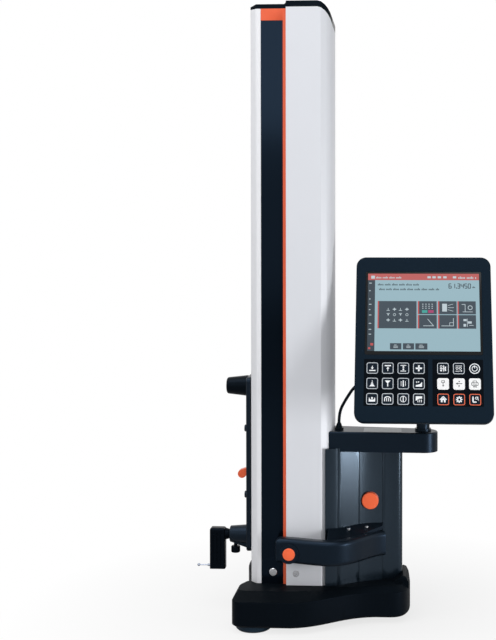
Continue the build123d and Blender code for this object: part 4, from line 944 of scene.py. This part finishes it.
@dataclass
class Keypad:
    """The 21 keys and their printed legends, which ride on the keys."""

    panel: Panel
    palette: Palette
    outline: float = 18.0
    corner: float = 3.2
    rim: float = 1.1
    ink_height: float = 0.12
    cap_edge: float = 0.25
    white_keys: tuple[str, ...] = ("zero", "preset", "print")
    home_keys: tuple[str, ...] = ("home", "settings", "probe")

    def build(self) -> None:
        """Dresses each key and prints it."""
        frame = self.panel.frame
        for name, marks in LEGENDS.items():
            node = "key_" + name
            white = name in self.white_keys
            cap = Finish.KEY_WHITE if white else Finish.KEY
            Skin(node, cap, self.cap_edge).dress(frame, self.palette.get(cap))
            ink = Finish.PRINT_DARK if white else Finish.PRINT_WHITE
            low, high = self.panel.span(node)
            place = self.panel.place((low.x + high.x) / 2, (low.y + high.y) / 2, high.z)
            art = Stencil(node + "_legend", place, self.ink_height)
            for mark in marks:
                mark.draw(art)
            self.add(art, ink, node)
            if name != "power" and not white:
                edge = Stencil(node + "_outline", place, self.ink_height)
                edge.outline(self.outline, self.corner, self.rim)
                self.add(edge, Finish.PRINT_ORANGE if name in self.home_keys else Finish.PRINT_GREY,
                         node)
            log.info("printed %s", node)

    def add(self, art: Stencil, finish: Finish, node: str) -> None:
        """Finishes a stencil on a key, riding on it.

        Args:
            art: the stencil.
            finish: its finish.
            node: the key.
        """
        piece = art.finish(self.palette.get(finish))
        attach(piece, body_name(self.panel.frame, node))
        finish.slot


@dataclass
class Screen:
    """The lit picture under the cover glass, in plain marks and numbers."""

    panel: Panel
    palette: Palette
    width: float = 179.0
    height: float = 130.0
    middle_up: float = 43.0
    lift: float = -0.3
    layer: float = 0.05
    header: float = 11.0
    toolbar: float = 11.5
    tile_edge: float = 2.0
    tile_rows: tuple[Pair, ...] = ((46.7, 68.6), (69.9, 92.5))
    tile_columns: tuple[Pair, ...] = ((80.4, 110.6), (112.6, 142.4), (143.8, 173.0))
    big_tile: Pair = (16.0, 78.4)
    tabs: tuple[Pair, ...] = ((36.2, 54.3), (56.7, 74.4), (76.4, 95.5))
    tab_rows: Pair = (-127.3, -117.0)
    tab_lines: tuple[Triple, ...] = ((5.5, 5.5, -124.6), (5.5, 5.5, -122.4), (6.5, 7.5, -120.4))
    tab_line: float = 0.8
    alarms: tuple[Quad, ...] = ((5.0, 9.5, -121.0, -117.0), (1.5, 5.0, -127.0, -124.0))
    text: tuple[Quad, ...] = ((16.0, 84.0, -20.2, 3.4), (18.0, 114.0, -28.2, 3.4),
                              (168.0, 173.0, -24.4, 3.0))
    header_text: tuple[Quad, ...] = ((13.0, 55.0, -8.2, 3.2), (146.0, 173.0, -8.6, 4.0))
    header_sign: Quad = (5.0, 11.0, -8.6, -3.6)
    header_marks: tuple[float, ...] = (96.0, 104.0, 112.5, 121.5, 137.0)
    header_mark: Triple = (5.4, -7.8, -4.4)
    toolbar_marks: tuple[int, ...] = (16, 29, 43, 52, 61, 70, 84, 94, 102)
    toolbar_start: float = 2.0
    toolbar_short: float = 4.4
    toolbar_long: float = 6.0
    toolbar_below: float = 0.9
    toolbar_above: float = 0.3
    word_length: int = 6
    tall_every: int = 4
    low_letter: float = 0.7
    letter_width: float = 0.36
    letter_step: float = 0.56
    reading: str = "61.3450"
    reading_place: Pair = (130.5, -24.6)
    reading_height: float = 7.4
    figure_width: float = 0.5
    figure_line: float = 0.17
    figure_gap: float = 1.6
    stop_width: float = 1.3
    stop_step: float = 1.9
    sign_rows: tuple[float, ...] = (-60.5, -69.6, -78.6)
    sign_columns: tuple[float, ...] = (33.0, 43.0, 52.6, 63.0)
    grid_start: Pair = (87.4, -51.2)
    grid_block: Pair = (2.0, 1.2)
    grid_step: Pair = (5.0, 3.4)
    grid_rows: int = 3
    grid_columns: int = 4
    cyan_patch: Quad = (87.0, 95.6, -66.4, -61.8)
    pink_patch: Quad = (97.0, 105.6, -66.4, -61.8)

    def sheet(self, name: str, level: int) -> Stencil:
        """A stencil measured from the picture's top left corner, with y down as a minus."""
        place = self.panel.place(-self.width / 2, self.middle_up + self.height / 2, self.lift)
        return Stencil("screen_" + name, place, self.layer * level)

    def add(self, art: Stencil, finish: Finish) -> None:
        """Finishes a stencil, riding on the display.

        Args:
            art: the stencil.
            finish: its finish.
        """
        piece = art.finish(self.palette.get(finish))
        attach(piece, "display")
        finish.slot
        log.info("drew %s", art.name)

    def words(self, art: Stencil, x: float, end: float, y: float, height: float) -> None:
        """Fills a line with blocks too small to read.

        Args:
            art: the stencil.
            x: where the line starts.
            end: where it ends.
            y: its lower edge.
            height: the tall blocks' height.
        """
        step = 0
        while x < end:
            if step % self.word_length != self.word_length - 1:
                tall = height * (1.0 if step % self.tall_every == 1 else self.low_letter)
                art.block(x, x + height * self.letter_width, y, y + tall)
            x += height * self.letter_step
            step += 1

    def digits(self, art: Stencil, text: str, x: float, y: float, tall: float) -> None:
        """Draws a number in seven strokes a figure.

        Args:
            art: the stencil.
            text: figures and full stops.
            x: the first figure's left edge.
            y: the figures' foot.
            tall: their height.
        """
        wide, line = tall * self.figure_width, tall * self.figure_line
        for sign in text:
            if sign == ".":
                art.block(x, x + line * self.stop_width, y - line / 2, y + line)
                x += line * self.stop_step
                continue
            for part in FIGURES[sign]:
                x0, y0, x1, y1 = SEGMENTS[part]
                art.bar((x + x0 * wide, y + y0 * tall / 2), (x + x1 * wide, y + y1 * tall / 2), line)
            x += wide + line * self.figure_gap

    def build(self) -> None:
        """Draws the picture in three layers."""
        self.add(self.sheet("field", 1).block(0, self.width, -self.height, 0), Finish.LCD_FIELD)
        self.add(self.sheet("header", 2).block(0, self.width, -self.header, 0), Finish.LCD_HEADER)
        self.add(self.sheet("toolbar", 2).block(0, self.toolbar, -self.height, -self.header),
                 Finish.LCD_TOOLBAR)
        self.build_tiles()
        self.build_marks()

    def build_tiles(self) -> None:
        """Draws the dark tiles and tabs, with their red edges."""
        dark, red = self.sheet("tiles", 2), self.sheet("tile_edges", 3)
        boxes = [(*self.big_tile, self.tile_rows[0][0], self.tile_rows[1][1])]
        boxes += [(*column, *row) for row in self.tile_rows for column in self.tile_columns]
        for x0, x1, y0, y1 in boxes:
            dark.block(x0, x1, -y1, -y0)
            red.block(x0, x0 + self.tile_edge, -y1, -y0)
        for x0, x1 in self.tabs:
            dark.block(x0, x1, *self.tab_rows)
        for alarm in self.alarms:
            red.block(*alarm)
        self.add(dark, Finish.LCD_TILE)
        self.add(red, Finish.LCD_RED)

    def build_marks(self) -> None:
        """Draws the words, figures and small pictures."""
        ink, pale = self.sheet("ink", 3), self.sheet("marks", 4)
        for line in self.text:
            self.words(ink, *line)
        self.digits(ink, self.reading, *self.reading_place, self.reading_height)
        pale.block(*self.header_sign)
        for line in self.header_text:
            self.words(pale, *line)
        wide, low, high = self.header_mark
        for x in self.header_marks:
            pale.block(x, x + wide, low, high)
        for y in self.toolbar_marks:
            right = self.toolbar_short if y % 2 else self.toolbar_long
            pale.block(self.toolbar_start, right, -y - self.toolbar_below, -y + self.toolbar_above)
        for row, y in enumerate(self.sign_rows):
            for column, x in enumerate(self.sign_columns):
                for mark in SIGNS[(row + 2 * column) % len(SIGNS)]:
                    mark.draw(pale, x, y)
        self.tile_pictures(pale)
        for x0, x1 in self.tabs:
            for left, right, y in self.tab_lines:
                pale.block(x0 + left, x1 - right, y, y + self.tab_line)
        self.add(ink, Finish.LCD_INK)
        self.add(pale, Finish.LCD_PALE)
        self.add(self.sheet("cyan", 4).block(*self.cyan_patch), Finish.LCD_CYAN)
        self.add(self.sheet("pink", 4).block(*self.pink_patch), Finish.LCD_MAGENTA)

    def tile_pictures(self, art: Stencil) -> None:
        """Draws the pictures on the six small tiles.

        Args:
            art: the stencil.
        """
        left, top = self.grid_start
        wide, tall = self.grid_block
        for row in range(self.grid_rows):
            for column in range(self.grid_columns):
                x, y = left + self.grid_step[0] * column, top - self.grid_step[1] * row
                art.block(x, x + wide, y - tall, y)
        for mark in TILE_MARKS:
            mark.draw(art)


@dataclass
class Display:
    """The display's front shell, with the dark fields round its keys."""

    panel: Panel
    palette: Palette
    fields: tuple[Quad, ...] = ((-94.1, 6.9, -110.9, -35.3), (13.7, 93.1, -110.9, -35.3))
    soft: float = 0.3
    edge: float = 0.5
    grain: float = 1800.0
    depth: float = 0.00003
    grain_share: float = 0.5
    roughness: Pair = (0.44, 0.32)
    gloss: float = 0.06
    tones: tuple[str, ...] = ("0F1922", "15212C", "07090B", "8FB2DC")

    def build(self) -> None:
        """Dresses the shell, then the keys and the screen."""
        Skin("display_frame", Finish.DISPLAY, self.edge).dress(self.panel.frame, self.paint())
        Keypad(self.panel, self.palette).build()
        Screen(self.panel, self.palette).build()

    def paint(self) -> bpy.types.Material:
        """The shell's plastic, darker in a field round each group of keys.

        Returns:
            The material.
        """
        sheet = Sheet("display_front")
        back = self.panel.place().inverted()
        place = sheet.mapped((1, 1, 1), back.to_translation(), back.to_euler())
        x, y, _ = sheet.axes(place)
        fine = sheet.noise(place, self.grain)
        dark, light, field_tone, tint = (tone(code) for code in self.tones)
        mask = None
        for x0, x1, y0, y1 in self.fields:
            across = ((x0 + x1) / 2 * -MM + x).size() - (x1 - x0) / 2 * MM
            up = ((y0 + y1) / 2 * -MM + y).size() - (y1 - y0) / 2 * MM
            inside = (0.5 - across.maths("MAXIMUM", across, up) / (self.soft * MM)).clamped()
            mask = inside if mask is None else mask + inside
        shell = sheet.mix((fine * self.grain_share).clamped(), dark, light)
        dull, smooth = self.roughness
        sheet.set(Base_Color=sheet.mix(mask, shell, field_tone),
                  Roughness=dull - mask * (dull - smooth), Specular_IOR_Level=self.gloss,
                  Specular_Tint=tint)
        sheet.bump(fine, self.depth)
        return sheet.material


@dataclass
class Cable:
    """The display's cable, from the gland over to the socket on the swivel post."""

    points: tuple[Triple, ...] = (
        (78.0, -31.0, 323.6), (78.0, -31.0, 341.0), (89.0, -31.0, 362.0), (105.0, -31.0, 386.0),
        (129.0, -31.0, 398.0), (151.0, -31.0, 392.5), (169.7, -31.0, 371.0), (195.7, -31.0, 371.0))
    radius: float = 2.5
    order: int = 3
    steps_along: int = 16
    steps_round: int = 5

    def curve(self, origin: Vector, depth: float) -> bpy.types.Object:
        """The route as a smooth curve.

        Args:
            origin: the column's axis in the frame, in metres.
            depth: the curve's radius, or 0 for its line alone.

        Returns:
            The curve's object, not yet linked.
        """
        data = bpy.data.curves.new("cable_route", "CURVE")
        data.dimensions = "3D"
        data.resolution_u = self.steps_along
        data.bevel_depth = depth
        data.bevel_resolution = self.steps_round
        data.use_fill_caps = True
        spline = data.splines.new("NURBS")
        spline.points.add(len(self.points) - 1)
        for point, place in zip(spline.points, self.points):
            point.co = (*(Vector(place) * MM + origin), 1.0)
        spline.order_u = self.order
        spline.use_endpoint_u = True
        return bpy.data.objects.new("cable_route", data)

    def build(self, frame: dict, palette: Palette) -> None:
        """Makes the cable as one curved tube between the arm and the swivelling post.

        Args:
            palette: the materials.
        """
        low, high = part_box("cable_gland")
        top = Vector(((low.x + high.x) / 2, (low.y + high.y) / 2, high.z))
        origin = top - Vector(self.points[0]) * MM
        line = bpy.data.meshes.new_from_object(self.curve(origin, 0.0))
        tube = bpy.data.meshes.new_from_object(self.curve(origin, self.radius * MM))
        tube.shade_smooth()
        cable = new_piece("display_cable_bent", tube, palette.get(Finish.CABLE))
        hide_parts("display_cable")
        slot_name(frame, "display_cable")
        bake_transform(cable)


@dataclass
class ArmTrim:
    """The pale ribbed strip let into the display arm's top."""

    start: float = 41.0
    length: float = 62.0
    near: float = 16.0
    rib: float = 11.6
    gap: float = 1.4
    ribs: int = 3
    height: float = 0.25

    def build(self, frame: dict, palette: Palette) -> None:
        """Lays the ribs.

        Args:
            palette: the materials.
        """
        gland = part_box("cable_gland")
        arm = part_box("display_arm")
        art = Stencil("arm_strip", Matrix.Translation((0, 0, arm[1].z)), self.height)
        x = (gland[0].x + gland[1].x) / 2 / MM + self.start
        y = (gland[0].y + gland[1].y) / 2 / MM - self.near
        for i in range(self.ribs):
            low = y + i * (self.rib + self.gap)
            art.block(x, x + self.length, low, low + self.rib)
        piece = art.finish(palette.get(Finish.LABEL))
        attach(piece, "stand")
        Finish.LABEL.slot
        log.info("laid the arm strip")


# ---------------- studio
@dataclass(frozen=True)
class SoftBox:
    """A rectangular studio lamp."""

    name: str
    place: Triple
    aim: Triple
    size: Pair
    power: float

    def build(self) -> None:
        """Hangs the lamp."""
        data = bpy.data.lights.new(self.name, "AREA")
        data.shape = "RECTANGLE"
        data.size, data.size_y = self.size
        data.energy = self.power
        lamp = bpy.data.objects.new(self.name, data)
        lamp.location = self.place
        aim = Vector(self.aim) - Vector(self.place)
        lamp.rotation_euler = aim.to_track_quat("-Z", "Y").to_euler()
        lamp.visible_camera = False
        bpy.context.scene.collection.objects.link(lamp)
        log.info("hung %s", self.name)


@dataclass
class Studio:
    """The camera, the white surroundings, the floor and the lamps."""

    camera_place: Triple = (0.1145, -1.9319, 0.6379)
    camera_yaw: float = -0.0568
    camera_pitch: float = -0.0203
    camera_focus: float = 1162.2
    camera_shift: Pair = (-0.15, -0.1)
    picture_height: int = 640
    sensor: float = 36.0
    reach: float = 100.0
    surround: float = 0.34
    floor_radius: float = 9.0
    floor_sides: int = 64
    floor_paper: float = 0.6
    floor_glow: float = 0.72
    fade: float = 2.0
    lamps: tuple[SoftBox, ...] = (
        SoftBox("overhead", (-0.3, -1.0, 2.8), (0, 0, 0.7), (2.4, 2.0), 47.0),
        SoftBox("upper_front", (-0.55, -3.1, 1.55), (0, 0, 0.7), (1.0, 1.0), 9.0),
        SoftBox("right_front", (1.15, -0.7, 0.24), (0.05, 0, 0.2), (0.26, 0.44), 9.0),
        SoftBox("left_front", (-2.6, -1.6, 1.9), (0, 0, 0.7), (1.2, 1.6), 20.0),
    )

    def build(self) -> None:
        """Sets up the whole studio."""
        bpy.context.scene.view_settings.view_transform = "Standard"
        self.build_camera()
        self.build_world()
        self.build_floor()
        for lamp in self.lamps:
            lamp.build()

    def build_camera(self) -> None:
        """Places the camera."""
        data = bpy.data.cameras.new("camera")
        data.sensor_width = self.sensor
        data.lens = self.camera_focus / self.picture_height * self.sensor
        data.shift_x, data.shift_y = self.camera_shift
        data.clip_end = self.reach
        camera = bpy.data.objects.new("camera", data)
        level = math.cos(self.camera_pitch)
        forward = Vector((math.sin(self.camera_yaw) * level, math.cos(self.camera_yaw) * level,
                          math.sin(self.camera_pitch)))
        camera.location = self.camera_place
        camera.rotation_euler = forward.to_track_quat("-Z", "Y").to_euler()
        bpy.context.scene.collection.objects.link(camera)
        bpy.context.scene.camera = camera

    def build_world(self) -> None:
        """White where it is seen or mirrored, softer as a light."""
        world = bpy.data.worlds.new("surround")
        tree = Tree(world)
        seen = tree.rays("Is Camera Ray", "Is Glossy Ray", "Is Transmission Ray")
        white = tree.node("ShaderNodeBackground", inputs={
            "Color": (1, 1, 1, 1), "Strength": seen * (1.0 - self.surround) + self.surround})
        tree.node("ShaderNodeOutputWorld", inputs={"Surface": white.outputs[0]})
        bpy.context.scene.world = world

    def build_floor(self) -> None:
        """A wide pale floor, near white where it is seen, which keeps the shadow."""
        bm = bmesh.new()
        bmesh.ops.create_circle(bm, cap_ends=True, segments=self.floor_sides,
                                radius=self.floor_radius)
        mesh = bpy.data.meshes.new("floor")
        bm.to_mesh(mesh)
        bm.free()
        material = bpy.data.materials.new("floor_paper")
        tree = Tree(material)
        place = tree.node("ShaderNodeTexCoord").outputs["Object"]
        away = Value(tree, tree.node("ShaderNodeVectorMath", {"operation": "LENGTH"},
                                     {0: place}).outputs["Value"])
        share = (away / self.fade + self.floor_glow).clamped() * tree.rays("Is Camera Ray")
        paper = tree.node("ShaderNodeBsdfDiffuse", inputs={"Color": (*(self.floor_paper,) * 3, 1)})
        glow = tree.node("ShaderNodeEmission", inputs={"Color": (1, 1, 1, 1), "Strength": 1.0})
        mix = tree.node("ShaderNodeMixShader", inputs={0: share, 1: paper.outputs[0],
                                                       2: glow.outputs[0]})
        tree.node("ShaderNodeOutputMaterial", inputs={"Surface": mix.outputs[0]})
        floor = new_piece("floor", mesh, material)
        log.info("laid the floor")


def main() -> None:
    """Builds the instrument and its studio."""
    logging.basicConfig(level=logging.INFO, format="%(message)s")
    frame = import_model()
    palette = Palette()
    Studio().build()
    Body().build(frame, palette)
    Display(Panel(frame), palette).build()
    Cable().build(frame, palette)
    ArmTrim().build(frame, palette)


if __name__ == "__main__":
    main()
